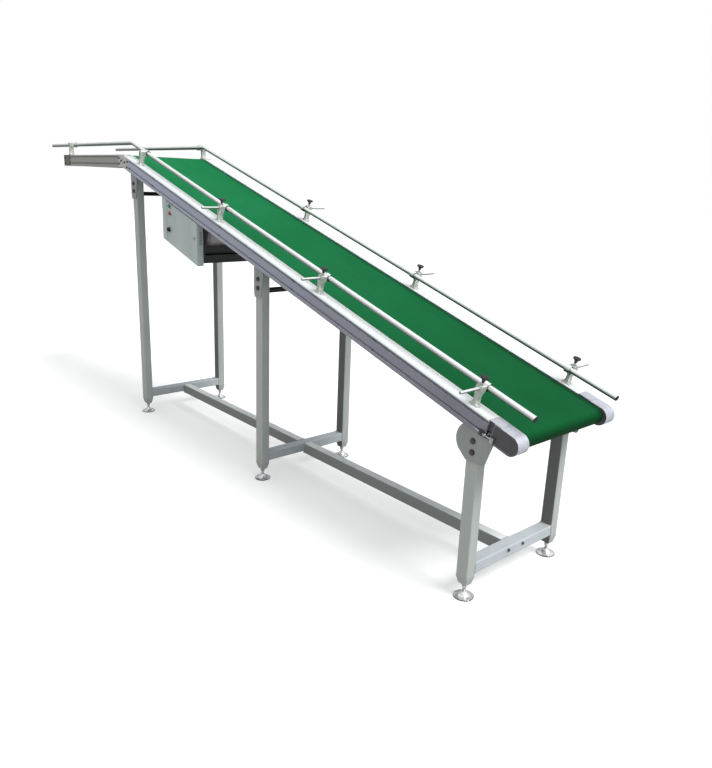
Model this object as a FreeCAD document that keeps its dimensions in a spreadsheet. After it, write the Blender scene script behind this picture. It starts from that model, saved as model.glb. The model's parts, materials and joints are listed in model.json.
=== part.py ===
"""Inclined belt conveyor section with a level discharge end, centre drive and adjustable side guides.

Row frame: +Z up, +X towards the low (infeed) end, -Y the near (control box) side.  The origin is on the
floor, on the belt's centreline, half way along the overall length.  Two local frames start at the crest
of the frame's top plane: the slope frame (s down the slope, y, h square to it) and the level frame.
All sizes are millimetres and degrees.
"""
import FreeCAD, Part
import math
import os
from types import SimpleNamespace

SIZES = {
    # overall layout
    "incline_deg": 16.71, "crest_height": 1749.0, "front_leg_from_crest": 3080.0,
    "middle_leg_from_crest": 1590.0, "rear_leg_from_crest": 125.0, "leg_centre_y": 291.0,
    # side rails: hollow aluminium extrusions
    "rail_width": 66.0, "rail_height": 80.0, "rail_outer_y": 332.5, "rail_setback": 14.0,
    "slope_rail_end": 3300.0, "level_rail_end": 950.0, "rail_wall": 3.0, "groove_depth": 6.0,
    "crest_plate_back": 62.0, "crest_plate_front": 108.0, "crest_plate_thickness": 4.0,
    # belt and bed
    "belt_width": 525.0, "belt_thickness": 1.9, "belt_gap": 0.1, "belt_drop": 3.0, "bed_thickness": 2.0,
    "bed_width": 532.0, "crest_gap": 40.0, "slope_bed_end": 3355.0, "level_bed_end": 1000.0,
    # rollers
    "end_roller_radius": 36.0, "end_roller_depth": 41.0, "tail_roller_at": 3399.0, "head_roller_at": 1046.0,
    "crest_roller_radius": 25.0, "return_radius": 20.0, "roller_face": 530.0, "shaft_radius": 10.0,
    "small_shaft_radius": 8.0, "drum_radius": 60.0, "drum_at": 790.0, "drum_depth": 185.0,
    "snub_offset": 85.0, "upper_return_at": 1560.0, "lower_return_at": 2600.0, "running_gap": 0.05,
    # end blocks
    "block_width": 66.0, "tail_block_start": 3325.0, "tail_block_end": 3455.0, "tail_block_height": 80.0,
    "head_block_end": 1090.0, "recess_depth": 2.0, "recess_border": 5.0, "bearing_radius": 21.0,
    "bearing_width": 12.0,
    # legs and stretchers
    "leg_length_x": 60.0, "leg_width_y": 50.0, "tube_wall": 2.5, "tube_corner": 5.0, "leg_bottom": 99.0,
    "stretcher_top": 160.0, "cross_height": 50.0, "beam_width": 50.0, "beam_height": 60.0,
    "tie_width": 30.0, "tie_height": 25.0, "tie_below_pivot": 50.5, "pivot_offset": 4.0, "lock_drop": 47.0,
    "hanger_thickness": 6.0, "bolt_radius": 6.0,
    # levelling feet
    "foot_radius": 42.0, "stud_radius": 6.0, "stud_top": 128.0, "plug_taper": 37.0, "plug_narrowing": 9.0,
    # side guides
    "guide_radius": 12.5, "guide_wall": 1.5, "guide_y": 265.0, "guide_height": 75.0,
    "slope_guide_length": 3435.0, "far_guide_extra": 22.0, "level_guide_length": 1502.0,
    "guide_bend_radius": 90.0,
    "post_y": 300.0, "post_depth": 30.0, "spindle_radius": 6.0, "long_spindle_end_y": 420.0,
    "short_spindle_end_y": 318.0, "knob_stem_radius": 4.0,
    # drive station
    "plate_inner_y": 285.0, "plate_thickness": 6.0, "plate_start": 655.0, "plate_end": 1100.0,
    "plate_bottom": 306.0, "motor_radius": 62.0, "motor_at": 1003.0, "motor_depth": 190.0,
    "output_radius": 12.5, "chain_y": 303.0, "chain_width": 8.0, "drum_sprocket_radius": 44.0,
    "motor_sprocket_radius": 30.0, "chain_height": 8.0,
    # control box
    "box_left": 545.0, "box_right": 970.0, "box_gap": 2.0, "box_drop": 247.0, "box_outer_y": 331.0,
    "box_sheet": 2.0, "door_left": 606.0, "door_gap": 7.0, "hinge_radius": 3.6, "button_radius": 11.0,
    "button_travel": 3.0,
    "speed_knob_radius": 13.0,
}

doc = FreeCAD.newDocument("inclined_belt_conveyor")
sheet = doc.addObject("Spreadsheet::Sheet", "Sizes")
for row, (alias, number) in enumerate(SIZES.items(), start=1):
    sheet.set("A%d" % row, alias)
    sheet.set("B%d" % row, repr(number))
    sheet.setAlias("B%d" % row, alias)
doc.recompute()
d = SimpleNamespace(**{alias: float(sheet.get(alias)) for alias in SIZES})

V = FreeCAD.Vector
TILT = FreeCAD.Rotation(V(0, 1, 0), d.incline_deg)
FLAT = FreeCAD.Rotation()
ACROSS = FreeCAD.Rotation(V(1, 0, 0), -90)      # turns a cylinder's +Z axis to +Y
COS = math.cos(math.radians(d.incline_deg))
SIN = math.sin(math.radians(d.incline_deg))
HALF_TAN = math.tan(math.radians(d.incline_deg) / 2)

# The far guide's lowest corner and the level guides' ends are the two ends of the whole object.
reach_down = ((d.slope_guide_length + d.far_guide_extra) * COS
              + (d.guide_height + d.guide_radius) * SIN)
CREST = V((d.level_guide_length - reach_down) / 2, 0, d.crest_height)
RAIL_INNER_Y = d.rail_outer_y - d.rail_width
RAIL_MIDDLE_Y = d.rail_outer_y - d.rail_width / 2
NEAR, FAR = -1, 1
nodes = []


# ---------------------------------------------------------------- frames and helpers
def slope(s, y, h):
    """Placement at a point of the slope frame, turned with the slope."""
    return FreeCAD.Placement(CREST + TILT.multVec(V(s, y, h)), TILT)


def level(x, y, h):
    """Placement at a point of the level frame (x runs back from the crest when negative)."""
    return FreeCAD.Placement(CREST + V(x, y, h), FLAT)


def at(x, y, z, turn=FLAT):
    return FreeCAD.Placement(V(x, y, z), turn)


def turned(placement, turn):
    """The same place with its own axes turned first."""
    return placement.multiply(FreeCAD.Placement(V(0, 0, 0), turn))


def top_plane(x_from_crest):
    """Height of the slope's top plane at a horizontal distance from the crest."""
    return d.crest_height - x_from_crest * SIN / COS


def bind(piece, **expressions):
    """Tie properties to sheet cells; every word that is a sheet alias is qualified."""
    for name, text in expressions.items():
        words = [("Sizes." + word if word in SIZES else word) for word in text.split()]
        piece.setExpression(name, " ".join(words))
    return piece


def box(name, length, width, height, place):
    piece = bind(doc.addObject("Part::Box", name), Length=length, Width=width, Height=height)
    piece.Placement = place
    return piece


def cylinder(name, radius, height, place):
    piece = bind(doc.addObject("Part::Cylinder", name), Radius=radius, Height=height)
    piece.Placement = place
    return piece


def cut(name, base, *tools):
    """Boolean cut of one base by any number of tools."""
    piece = doc.addObject("Part::Cut", name)
    piece.Base = base
    if len(tools) == 1:
        piece.Tool = tools[0]
    else:
        group = doc.addObject("Part::Compound", name + "_tools")
        group.Links = list(tools)
        piece.Tool = group
    return piece


def fuse(name, *pieces):
    piece = doc.addObject("Part::MultiFuse", name)
    piece.Shapes = list(pieces)
    return piece


def arc(mid, end):
    """An outline step that reaches its end point by an arc through a middle point."""
    return SimpleNamespace(mid=mid, end=end)


def draw(sketch, steps):
    """Closed outline in a sketch: points are joined by lines, arc steps by circular arcs."""
    current = steps[0]
    for step in list(steps[1:]) + [steps[0]]:
        end = step.end if isinstance(step, SimpleNamespace) else step
        if isinstance(step, SimpleNamespace):
            sketch.addGeometry(Part.Arc(V(*current, 0), V(*step.mid, 0), V(*end, 0)), False)
        elif math.dist(current, end) > 1e-6:
            sketch.addGeometry(Part.LineSegment(V(*current, 0), V(*end, 0)), False)
        current = end


def ring(sketch, centre, radius):
    sketch.addGeometry(Part.Circle(V(*centre, 0), V(0, 0, 1), radius), False)


def sketched_body(name, role):
    """A body with one empty sketch on one of its own origin planes."""
    body = doc.addObject("PartDesign::Body", name)
    plane = [feature for feature in body.Origin.OriginFeatures if feature.Role == role][0]
    sketch = body.newObject("Sketcher::SketchObject", name + "_sketch")
    sketch.AttachmentSupport = [(plane, "")]
    sketch.MapMode = "FlatFace"
    return body, sketch


def padded(name, role, outlines, length, place, circles=(), midplane=True):
    """A body padded from closed outlines and circles; inner loops become holes."""
    body, sketch = sketched_body(name, role)
    for steps in outlines:
        draw(sketch, steps)
    for centre, radius in circles:
        ring(sketch, centre, radius)
    pad = body.newObject("PartDesign::Pad", name + "_pad")
    pad.Profile = sketch
    pad.Midplane = midplane
    bind(pad, Length=length)
    body.Placement = place
    return body


def revolved(name, role, steps, place):
    """A body turned about the vertical axis of its sketch."""
    body, sketch = sketched_body(name, role)
    draw(sketch, steps)
    turn = body.newObject("PartDesign::Revolution", name + "_turn")
    turn.Profile = sketch
    turn.ReferenceAxis = (sketch, ["V_Axis"])
    turn.Angle = 360.0
    body.Placement = place
    return body


def node(piece, name):
    """Name a finished object as a sub-part."""
    piece.Label = name
    nodes.append(piece)
    return piece


def node_of(name, *pieces):
    """Several separate solids under one name."""
    group = doc.addObject("Part::Compound", name + "_group")
    group.Links = list(pieces)
    return node(group, name)


def node_of_copies(name, *groups):
    """Placed copies of master pieces, as separate solids under one name; a group is (master, placements)."""
    doc.recompute()
    piece = doc.addObject("Part::Feature", name + "_copies")
    shapes = []
    for master, placements in groups:
        for place in placements:
            copy = master.Shape.copy()
            copy.Placement = place.multiply(copy.Placement)
            shapes.append(copy)
    piece.Shape = Part.makeCompound(shapes)
    return node(piece, name)


# ---------------------------------------------------------------- side rails
def rail_outlines(side):
    """Extrusion section: y outwards from the inner edge, h down from the top plane."""
    wide, tall, depth = d.rail_width, d.rail_height, d.groove_depth
    outer = [(0, 0), (22, 0), (24, -1.5), (42, -1.5), (44, 0), (wide - 4, 0), (wide, -4), (wide, -8),
             (wide - depth, -9.5), (wide - depth, -17), (wide, -18.5), (wide, -53),
             (wide - depth, -54.5), (wide - depth, -62), (wide, -63.5), (wide, -tall),
             (40, -tall), (40, -tall + d.rail_wall), (26, -tall + d.rail_wall), (26, -tall), (0, -tall),
             (0, -12), (-10, -12), (-10, -7.2), (0, -7.2)]
    upper = [(5, -6), (wide - 10, -6), (wide - 10, -44), (5, -44)]
    lower = [(5, -49), (wide - 10, -49), (wide - 10, -72), (5, -72)]
    start = RAIL_INNER_Y
    return [[(side * (start + y), h) for y, h in loop] for loop in (outer, upper, lower)]


def side_rails():
    pieces = []
    for side, word in ((NEAR, "near"), (FAR, "far")):
        pieces.append(padded("slope_rail_" + word, "YZ_Plane", rail_outlines(side),
                             "slope_rail_end - rail_setback", slope(d.rail_setback, 0, 0), midplane=False))
        pieces.append(padded("level_rail_" + word, "YZ_Plane", rail_outlines(side),
                             "level_rail_end - rail_setback", level(-d.level_rail_end, 0, 0),
                             midplane=False))
    node_of("side_rails", *pieces)


def crest_plates():
    """Plates that join the level and sloped rails on their outer faces."""
    back, front, top, low = d.crest_plate_back, d.crest_plate_front, -2.0, -78.0
    foot = (front * COS + low * SIN, -front * SIN + low * COS)
    head = (front * COS + top * SIN, -front * SIN + top * COS)
    outline = [(-back, top), (top * HALF_TAN, top), head, foot, (low * HALF_TAN, low), (-back, low)]
    pieces = []
    for side, word in ((NEAR, "near"), (FAR, "far")):
        middle = side * (d.rail_outer_y + d.crest_plate_thickness / 2)
        pieces.append(padded("crest_plate_" + word, "XZ_Plane", [outline], "crest_plate_thickness",
                             level(0, middle, 0)))
    node_of("crest_plates", *pieces)


# ---------------------------------------------------------------- belt loop and rollers
def crest_point(depth):
    """Centre that lies at one depth below both the level and the sloped top plane."""
    return (-depth * HALF_TAN, -depth)


def slope_point(s, h):
    return (s * COS + h * SIN, -s * SIN + h * COS)


under_belt = d.belt_drop + d.belt_thickness + d.belt_gap
return_outer = d.end_roller_depth + d.end_roller_radius + d.belt_gap + d.belt_thickness
return_depth = return_outer + d.belt_gap + d.return_radius
crest_roller_depth = under_belt + d.crest_roller_radius
INSIDE, OUTSIDE = -1, 1

# The belt's path, clockwise: (centre in the XZ plane from the crest, roller radius, side of the belt).
PATH = [
    ((-d.head_roller_at, -d.end_roller_depth), d.end_roller_radius, INSIDE),
    (crest_point(crest_roller_depth), d.crest_roller_radius, INSIDE),
    (slope_point(d.tail_roller_at, -d.end_roller_depth), d.end_roller_radius, INSIDE),
    (slope_point(d.drum_at + d.snub_offset, -return_depth), d.return_radius, OUTSIDE),
    (slope_point(d.drum_at, -d.drum_depth), d.drum_radius, INSIDE),
    (slope_point(d.drum_at - d.snub_offset, -return_depth), d.return_radius, OUTSIDE),
    (crest_point(return_depth), d.return_radius, OUTSIDE),
]


def belt_loop(wraps, offset):
    """Steps of the closed line that runs at an offset outside the loop's inner surface."""
    signed = []
    for centre, radius, side in wraps:
        reach = radius + (d.belt_gap + offset if side == INSIDE
                          else d.belt_gap + d.belt_thickness - offset)
        signed.append((centre, side * reach))
    headings = []
    for (first, r_first), (second, r_second) in zip(signed, signed[1:] + signed[:1]):
        gap_x, gap_z = second[0] - first[0], second[1] - first[1]
        swing = math.asin((r_second - r_first) / math.hypot(gap_x, gap_z))
        headings.append(math.atan2(gap_z, gap_x) - swing)
    steps = []
    for index, (centre, reach) in enumerate(signed):
        arrive, leave = headings[index - 1], headings[index]
        sweep = (leave - arrive) % (2 * math.pi)
        if reach < 0:
            sweep -= 2 * math.pi
        points = []
        for heading in (arrive, arrive + sweep / 2, arrive + sweep):
            points.append((centre[0] + reach * math.sin(heading), centre[1] - reach * math.cos(heading)))
        steps.append(points[0])
        steps.append(arc(points[1], points[2]))
    return steps


def conveyor_belt():
    loops = [belt_loop(PATH, 0.0), belt_loop(PATH, d.belt_thickness)]
    node(padded("belt", "XZ_Plane", loops, "belt_width", level(0, 0, 0)), "conveyor_belt")


def roller(name, radius, face, shaft_radius, ends, place):
    """Roller along Y with stub shafts; ends = (near, far) reach of the shaft."""
    near, far = ends
    half = face / 2
    steps = [(0, -near), (shaft_radius, -near), (shaft_radius, -half), (radius - 2, -half),
             (radius, -half + 2), (radius, half - 2), (radius - 2, half), (shaft_radius, half),
             (shaft_radius, far), (0, far)]
    return revolved(name, "XY_Plane", steps, place)


def rollers():
    shaft = RAIL_INNER_Y + 40
    short = (RAIL_INNER_Y + 16, RAIL_INNER_Y + 16)
    plate = (d.plate_inner_y + 4, d.plate_inner_y + 4)
    face = d.roller_face
    node(roller("tail", d.end_roller_radius, face, d.shaft_radius, (shaft, shaft),
                slope(d.tail_roller_at, 0, -d.end_roller_depth)), "tail_roller")
    node(roller("head", d.end_roller_radius, face, d.shaft_radius, (shaft, shaft),
                level(-d.head_roller_at, 0, -d.end_roller_depth)), "head_roller")
    x, z = crest_point(crest_roller_depth)
    node(roller("crest", d.crest_roller_radius, 510, d.small_shaft_radius, short, level(x, 0, z)),
         "crest_roller")
    x, z = crest_point(return_depth)
    node(roller("crest_return", d.return_radius, face, d.small_shaft_radius, (282, 282), level(x, 0, z)),
         "return_roller_crest")
    for name, s in (("upper", d.upper_return_at), ("lower", d.lower_return_at)):
        node(roller(name + "_return", d.return_radius, face, d.small_shaft_radius, (282, 282),
                    slope(s, 0, -return_depth)), "return_roller_" + name)
    for name, shift in (("upper", -d.snub_offset), ("lower", d.snub_offset)):
        node(roller(name + "_snub", d.return_radius, face, d.small_shaft_radius, plate,
                    slope(d.drum_at + shift, 0, -return_depth)), "snub_roller_" + name)
    node(roller("drum", d.drum_radius, 540, d.output_radius, (289, 318),
                slope(d.drum_at, 0, -d.drum_depth)), "drive_drum")


def slider_bed():
    """Two flat sheets under the top run: one on the slope, one on the level end."""
    depth = under_belt + d.bed_thickness
    node_of(
        "slider_bed",
        box("slope_bed", "slope_bed_end - crest_gap", "bed_width", "bed_thickness",
            slope(d.crest_gap, -d.bed_width / 2, -depth)),
        box("level_bed", "level_bed_end - crest_gap", "bed_width", "bed_thickness",
            level(-d.level_bed_end, -d.bed_width / 2, -depth)))


def frame_spreaders():
    """Square tubes across the frame, between the top and return runs."""
    wide, tall, wall = 40.0, 30.0, 2.0
    outer = [(-wide / 2, -tall / 2), (wide / 2, -tall / 2), (wide / 2, tall / 2), (-wide / 2, tall / 2)]
    hole = [(x * (1 - 2 * wall / wide), z * (1 - 2 * wall / tall)) for x, z in outer]
    master = padded("spreader", "XZ_Plane", [outer, hole], "2 * ( rail_outer_y - rail_width )",
                    at(0, 0, 0))
    height = -(12.2 + tall / 2)
    spots = [slope(s, 0, height) for s in (450, 1250, 1950, 2450, 3120)] + [level(-520, 0, height)]
    node_of_copies("frame_spreaders", (master, spots))


# ---------------------------------------------------------------- end blocks, bearings, tensioners
def end_block(name, outline, inset, centre, sideways):
    """One bearing block: recessed outer face, bore for the shaft and seat for the bearing."""
    body = padded(name + "_body", "XZ_Plane", [outline], "block_width", at(0, 0, 0))
    recess = padded(name + "_recess", "XZ_Plane", [inset], "2 * recess_depth",
                    at(0, sideways * d.block_width / 2, 0))
    x, z = centre
    half = d.block_width / 2
    bore = cylinder(name + "_bore", "shaft_radius + 2", "45",
                    at(x, -half - 1 if sideways == FAR else half + 1 - 45, z, ACROSS))
    seat = cylinder(name + "_seat", "bearing_radius", "bearing_width",
                    at(x, -half if sideways == FAR else half - d.bearing_width, z, ACROSS))
    return body, recess, bore, seat


def tail_blocks():
    """Sliding blocks that carry the tail roller, with tongues inside the slope rails."""
    start, end = d.tail_block_start, d.tail_block_end
    radius = d.tail_block_height / 2
    mid = -radius + 0.2
    top, low = mid + radius, mid - radius
    hub = end - radius
    border = d.recess_border
    outline = [(start, low), (hub, low), arc((end, mid), (hub, top)), (start, top)]
    inset = [(start + border, low + border), (hub, low + border),
             arc((end - border, mid), (hub, top - border)), (start + border, top - border)]
    pieces = []
    for side, word in ((NEAR, "near"), (FAR, "far")):
        name = "tail_block_" + word
        body, recess, bore, seat = end_block(name, outline, inset,
                                             (d.tail_roller_at, -d.end_roller_depth), side)
        offset = -side * 2.5
        tongue = box(name + "_tongue", "90", "rail_width - 16", "36",
                     at(start - 90, offset - (d.rail_width - 16) / 2, -43))
        lip = box(name + "_lip", "60", "block_width - 4", "1.8",
                  at(start - 28, 2 - d.block_width / 2, top))
        screw_hole = cylinder(name + "_hole", "knob_stem_radius + 0.5", "61",
                              at(start - 1, side * 10, -61, FreeCAD.Rotation(V(0, 1, 0), 90)))
        piece = cut(name, fuse(name + "_solid", body, tongue, lip), recess, bore, seat, screw_hole)
        piece.Placement = slope(0, side * RAIL_MIDDLE_Y, 0)
        pieces.append(piece)
    node_of("tail_blocks", *pieces)


def head_blocks():
    """Fixed blocks at the discharge end, each with two tapped holes in its end face."""
    start, end = d.level_rail_end, d.head_block_end
    border = d.recess_border
    low = -d.rail_height
    outline = [(-end, low), (-start, low), (-start, 0), (-end, 0)]
    inset = [(-end + border, low + border), (-start - border, low + border),
             (-start - border, -border), (-end + border, -border)]
    pieces = []
    for side, word in ((NEAR, "near"), (FAR, "far")):
        name = "head_block_" + word
        body, recess, bore, seat = end_block(name, outline, inset,
                                             (-d.head_roller_at, -d.end_roller_depth), side)
        holes = [cylinder(name + "_tap_%d" % index, "4.25", "25",
                          at(-end, side * 20, height, FreeCAD.Rotation(V(0, 1, 0), 90)))
                 for index, height in enumerate((-15.0, -65.0))]
        piece = cut(name, body, recess, bore, seat, *holes)
        piece.Placement = level(0, side * RAIL_MIDDLE_Y, 0)
        pieces.append(piece)
    node_of("head_blocks", *pieces)


def bearing(name, outer, inner, width, place):
    """A plain bearing ring along Y, centred on its placement."""
    return padded(name, "XZ_Plane", [], width, place, circles=[((0, 0), outer), ((0, 0), inner)])


def bearings():
    inner = d.shaft_radius + d.running_gap
    middle = RAIL_INNER_Y + d.bearing_width / 2
    tail, fixed = [], []
    for side, word in ((NEAR, "near"), (FAR, "far")):
        tail.append(bearing("tail_bearing_" + word, d.bearing_radius, inner, "bearing_width",
                            slope(d.tail_roller_at, side * middle, -d.end_roller_depth)))
        fixed.append(bearing("head_bearing_" + word, d.bearing_radius, inner, "bearing_width",
                             level(-d.head_roller_at, side * middle, -d.end_roller_depth)))
        drum_y = side * (d.plate_inner_y - 5)
        fixed.append(bearing("drum_bearing_" + word, 26, d.output_radius + d.running_gap, "10",
                             slope(d.drum_at, drum_y, -d.drum_depth)))
    node_of("tail_bearings", *tail)
    node_of("fixed_bearings", *fixed)


def tension_screws():
    """Screws in the gap between rail and tail block that set the belt's tension."""
    pieces = []
    place_turn = FreeCAD.Rotation(V(0, 1, 0), 90)
    for side, word in ((NEAR, "near"), (FAR, "far")):
        y = side * (RAIL_MIDDLE_Y + 10)
        place = turned(slope(d.slope_rail_end, y, -61), place_turn)
        shank = cylinder("tension_shank_" + word, "knob_stem_radius", "60", place)
        head = bind(doc.addObject("Part::Prism", "tension_head_" + word), Circumradius="7.5", Height="4")
        head.Polygon = 6
        head.Placement = place
        pieces.append(fuse("tension_screw_" + word, shank, head))
    node_of("tension_screws", *pieces)


# ---------------------------------------------------------------- legs, stretchers, hangers, feet
# Hanger plates, drawn about their pivots: a wide one with a round left side, and a small one.
DISC = 86.0
LEFT_CORNER = math.radians(215)
WIDE_PLATE = SimpleNamespace(pivot_drop=130.0, outline=[
    (-32, -85), (54, -85), arc((61, -82), (64, -75)), (97, 17), (97, 62), (-0.56 * DISC, 62),
    arc((-0.99 * DISC, 7), (DISC * math.cos(LEFT_CORNER), DISC * math.sin(LEFT_CORNER)))])
SMALL_PLATE = SimpleNamespace(pivot_drop=142.0, outline=[
    (-34, -97), (18, -97), arc((21.5, -95.5), (23, -92)), (38, -4), (46, 62), (-40, 62), (-40, -60)])
# Leg pairs: (name, distance from the crest, hanger plate).
LEGS = (("front", d.front_leg_from_crest, WIDE_PLATE), ("middle", d.middle_leg_from_crest, SMALL_PLATE),
        ("rear", d.rear_leg_from_crest, SMALL_PLATE))


def rounded_outline(wide, tall, corner):
    """Rectangle about the origin with round corners."""
    flat_x, flat_z = wide / 2 - corner, tall / 2 - corner
    swing = corner * math.sqrt(0.5)
    return [(-flat_x, -tall / 2), (flat_x, -tall / 2),
            arc((flat_x + swing, -flat_z - swing), (wide / 2, -flat_z)), (wide / 2, flat_z),
            arc((flat_x + swing, flat_z + swing), (flat_x, tall / 2)), (-flat_x, tall / 2),
            arc((-flat_x - swing, flat_z + swing), (-wide / 2, flat_z)), (-wide / 2, -flat_z),
            arc((-flat_x - swing, -flat_z - swing), (-flat_x, -tall / 2))]


def tube(name, role, wide, tall, length, place, midplane=False):
    """Rectangular tube with round corners, square to one of its own planes."""
    thick = 2 * d.tube_wall
    loops = [rounded_outline(wide, tall, d.tube_corner),
             rounded_outline(wide - thick, tall - thick, d.tube_corner - d.tube_wall)]
    return padded(name, role, loops, length, place, midplane=midplane)


def pivot_height(from_crest, plate):
    return top_plane(from_crest + d.pivot_offset) - plate.pivot_drop


def leg_top(from_crest):
    """The tube stops just under the hanger's flange at its downhill edge."""
    flange = (d.rail_height + d.hanger_thickness) / COS
    return top_plane(from_crest + d.leg_length_x / 2) - flange - 2


def legs():
    pieces = []
    for word, from_crest, plate in LEGS:
        length = "%.3f" % (leg_top(from_crest) - d.leg_bottom)
        x = CREST.x + from_crest
        for side in (NEAR, FAR):
            name = "%s_leg_%s" % (word, "near" if side == NEAR else "far")
            place = at(x, side * d.leg_centre_y, d.leg_bottom)
            leg = tube(name + "_tube", "XY_Plane", d.leg_length_x, d.leg_width_y, length, place)
            height = pivot_height(from_crest, plate)
            holes = [cylinder("%s_hole_%d" % (name, number), "bolt_radius + 0.5", "leg_width_y + 2",
                              at(x + d.pivot_offset, side * d.leg_centre_y - d.leg_width_y / 2 - 1,
                                 height - drop, ACROSS))
                     for number, drop in enumerate((0, d.lock_drop))]
            pieces.append(cut(name, leg, *holes))
    node_of("legs", *pieces)


def stretchers():
    gap = "2 * leg_centre_y - leg_width_y"
    ties, crosses, beams = [], [], []
    for word, from_crest, plate in LEGS:
        x = CREST.x + from_crest
        place = at(x, 0, d.stretcher_top - d.cross_height / 2)
        crosses.append(tube("cross_" + word, "XZ_Plane", d.leg_length_x, d.cross_height, gap, place, True))
        if word != "front":
            height = pivot_height(from_crest, plate) - d.tie_below_pivot - d.tie_height / 2
            ties.append(tube("tie_" + word, "XZ_Plane", d.tie_width, d.tie_height, gap, at(x, 0, height),
                             True))
    for start, end in (("rear", "middle"), ("middle", "front")):
        from_x = CREST.x + getattr(d, start + "_leg_from_crest") + d.leg_length_x / 2
        length = "%s_leg_from_crest - %s_leg_from_crest - leg_length_x" % (end, start)
        beams.append(tube("beam_" + end, "YZ_Plane", d.beam_width, d.beam_height, length,
                          at(from_x, 0, d.stretcher_top - d.beam_height / 2)))
    node_of("cross_stretchers", *crosses)
    node_of("leg_ties", *ties)
    node_of("long_stretchers", *beams)


def rail_hangers():
    """Plates under the rails that pivot on the leg tops, each with a flange on the rail's underside."""
    pieces = []
    for word, from_crest, plate in LEGS:
        x = CREST.x + from_crest + d.pivot_offset
        pivot = pivot_height(from_crest, plate)
        holes = [((0, 0), d.bolt_radius + 0.5), ((0, -d.lock_drop), d.bolt_radius + 0.5)]
        s_middle = from_crest * COS + (d.crest_height - pivot) * SIN
        for side in (NEAR, FAR):
            name = "hanger_%s_%s" % (word, "near" if side == NEAR else "far")
            ear_y = side * (d.leg_centre_y + d.leg_width_y / 2 + d.hanger_thickness / 2 + 0.3)
            ear = padded(name + "_ear", "XZ_Plane", [plate.outline], "hanger_thickness", at(x, ear_y, pivot),
                         circles=holes)
            flange_middle = ear_y - side * (23 - d.hanger_thickness / 2)
            flange = box(name + "_flange", "120", "46", "hanger_thickness",
                         slope(s_middle - 60, flange_middle - 23, -d.rail_height - d.hanger_thickness))
            clip = box(name + "_clip", "700", "120", "260",
                       slope(s_middle - 350, ear_y - 60, -d.rail_height))
            pieces.append(cut(name, fuse(name + "_joined", ear, flange), clip))
    node_of("rail_hangers", *pieces)


def bolt(name, head, shank, nut_at):
    """Hexagon bolt along -Z with its nut, as one solid; the head sits above z = 0."""
    cap = bind(doc.addObject("Part::Prism", name + "_cap"), Circumradius="%g * 1.85" % head,
               Height="%g * 1.2" % head)
    cap.Polygon = 6
    stem = cylinder(name + "_stem", "%g" % head, "%g" % shank, at(0, 0, -shank))
    parts = [cap, stem]
    if nut_at:
        nut = bind(doc.addObject("Part::Prism", name + "_nut"), Circumradius="%g * 1.75" % head,
                   Height="%g * 1.5" % head)
        nut.Polygon = 6
        nut.Placement = at(0, 0, -nut_at - head * 1.5)
        parts.append(nut)
    return fuse(name, *parts)


def outward(side):
    """Turn that points a bolt's head away from the centreline."""
    return FreeCAD.Rotation(V(1, 0, 0), 90 if side == NEAR else -90)


def bolts():
    hinge = bolt("hinge_bolt", d.bolt_radius, 24, 9.4)
    spots = []
    for _, from_crest, plate in LEGS:
        for side in (NEAR, FAR):
            y = side * (d.leg_centre_y + d.leg_width_y / 2 + d.hanger_thickness + 0.3)
            for drop in (0, d.lock_drop):
                spots.append(at(CREST.x + from_crest + d.pivot_offset, y,
                                pivot_height(from_crest, plate) - drop, outward(side)))
    node_of_copies("hinge_bolts", (hinge, spots))

    small = bolt("plate_bolt", 4, 0.5, 0)
    spots = []
    for side in (NEAR, FAR):
        turn = outward(side)
        plate_y = side * (d.rail_outer_y + d.crest_plate_thickness + 0.5)
        for s, h in ((48, -38), (90, -22), (90, -58)):
            spots.append(turned(slope(s, plate_y, h), turn))
        for x, h in ((-16, -40), (-48, -22), (-48, -58)):
            spots.append(turned(level(x, plate_y, h), turn))
        face_y = side * (d.rail_outer_y - d.recess_depth + 0.5)
        for x, h in ((-970, -20), (-970, -60), (-1072, -20), (-1072, -60)):
            spots.append(turned(level(x, face_y, h), turn))
    for y in (-50, 50):
        face = CREST.x + d.front_leg_from_crest + d.leg_length_x / 2 + 0.5
        spots.append(at(face, y, d.stretcher_top - 15, FreeCAD.Rotation(V(0, 1, 0), 90)))
    node_of_copies("frame_bolts", (small, spots))


def leg_plug():
    """Plug in a leg's end: a core inside the tube and a taper below it, drilled for the stud."""
    taper = doc.addObject("Part::Wedge", "plug_taper")
    bind(taper, Xmin="0 - leg_length_x / 2", Xmax="leg_length_x / 2", Zmin="0 - leg_width_y / 2",
         Zmax="leg_width_y / 2", Ymin="0", Ymax="plug_taper",
         X2min="plug_narrowing - leg_length_x / 2", X2max="leg_length_x / 2 - plug_narrowing",
         Z2min="plug_narrowing - leg_width_y / 2", Z2max="leg_width_y / 2 - plug_narrowing")
    taper.Placement = at(0, 0, d.leg_bottom, ACROSS)
    inset = d.tube_wall + 0.2
    core = padded("plug_core", "XY_Plane",
                  [rounded_outline(d.leg_length_x - 2 * inset, d.leg_width_y - 2 * inset, d.tube_wall)],
                  "26", at(0, 0, d.leg_bottom - 1), midplane=False)
    hole = cylinder("plug_hole", "stud_radius + running_gap", "80",
                    at(0, 0, d.leg_bottom - d.plug_taper - 5))
    return cut("plug", fuse("plug_solid", taper, core), hole)


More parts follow.
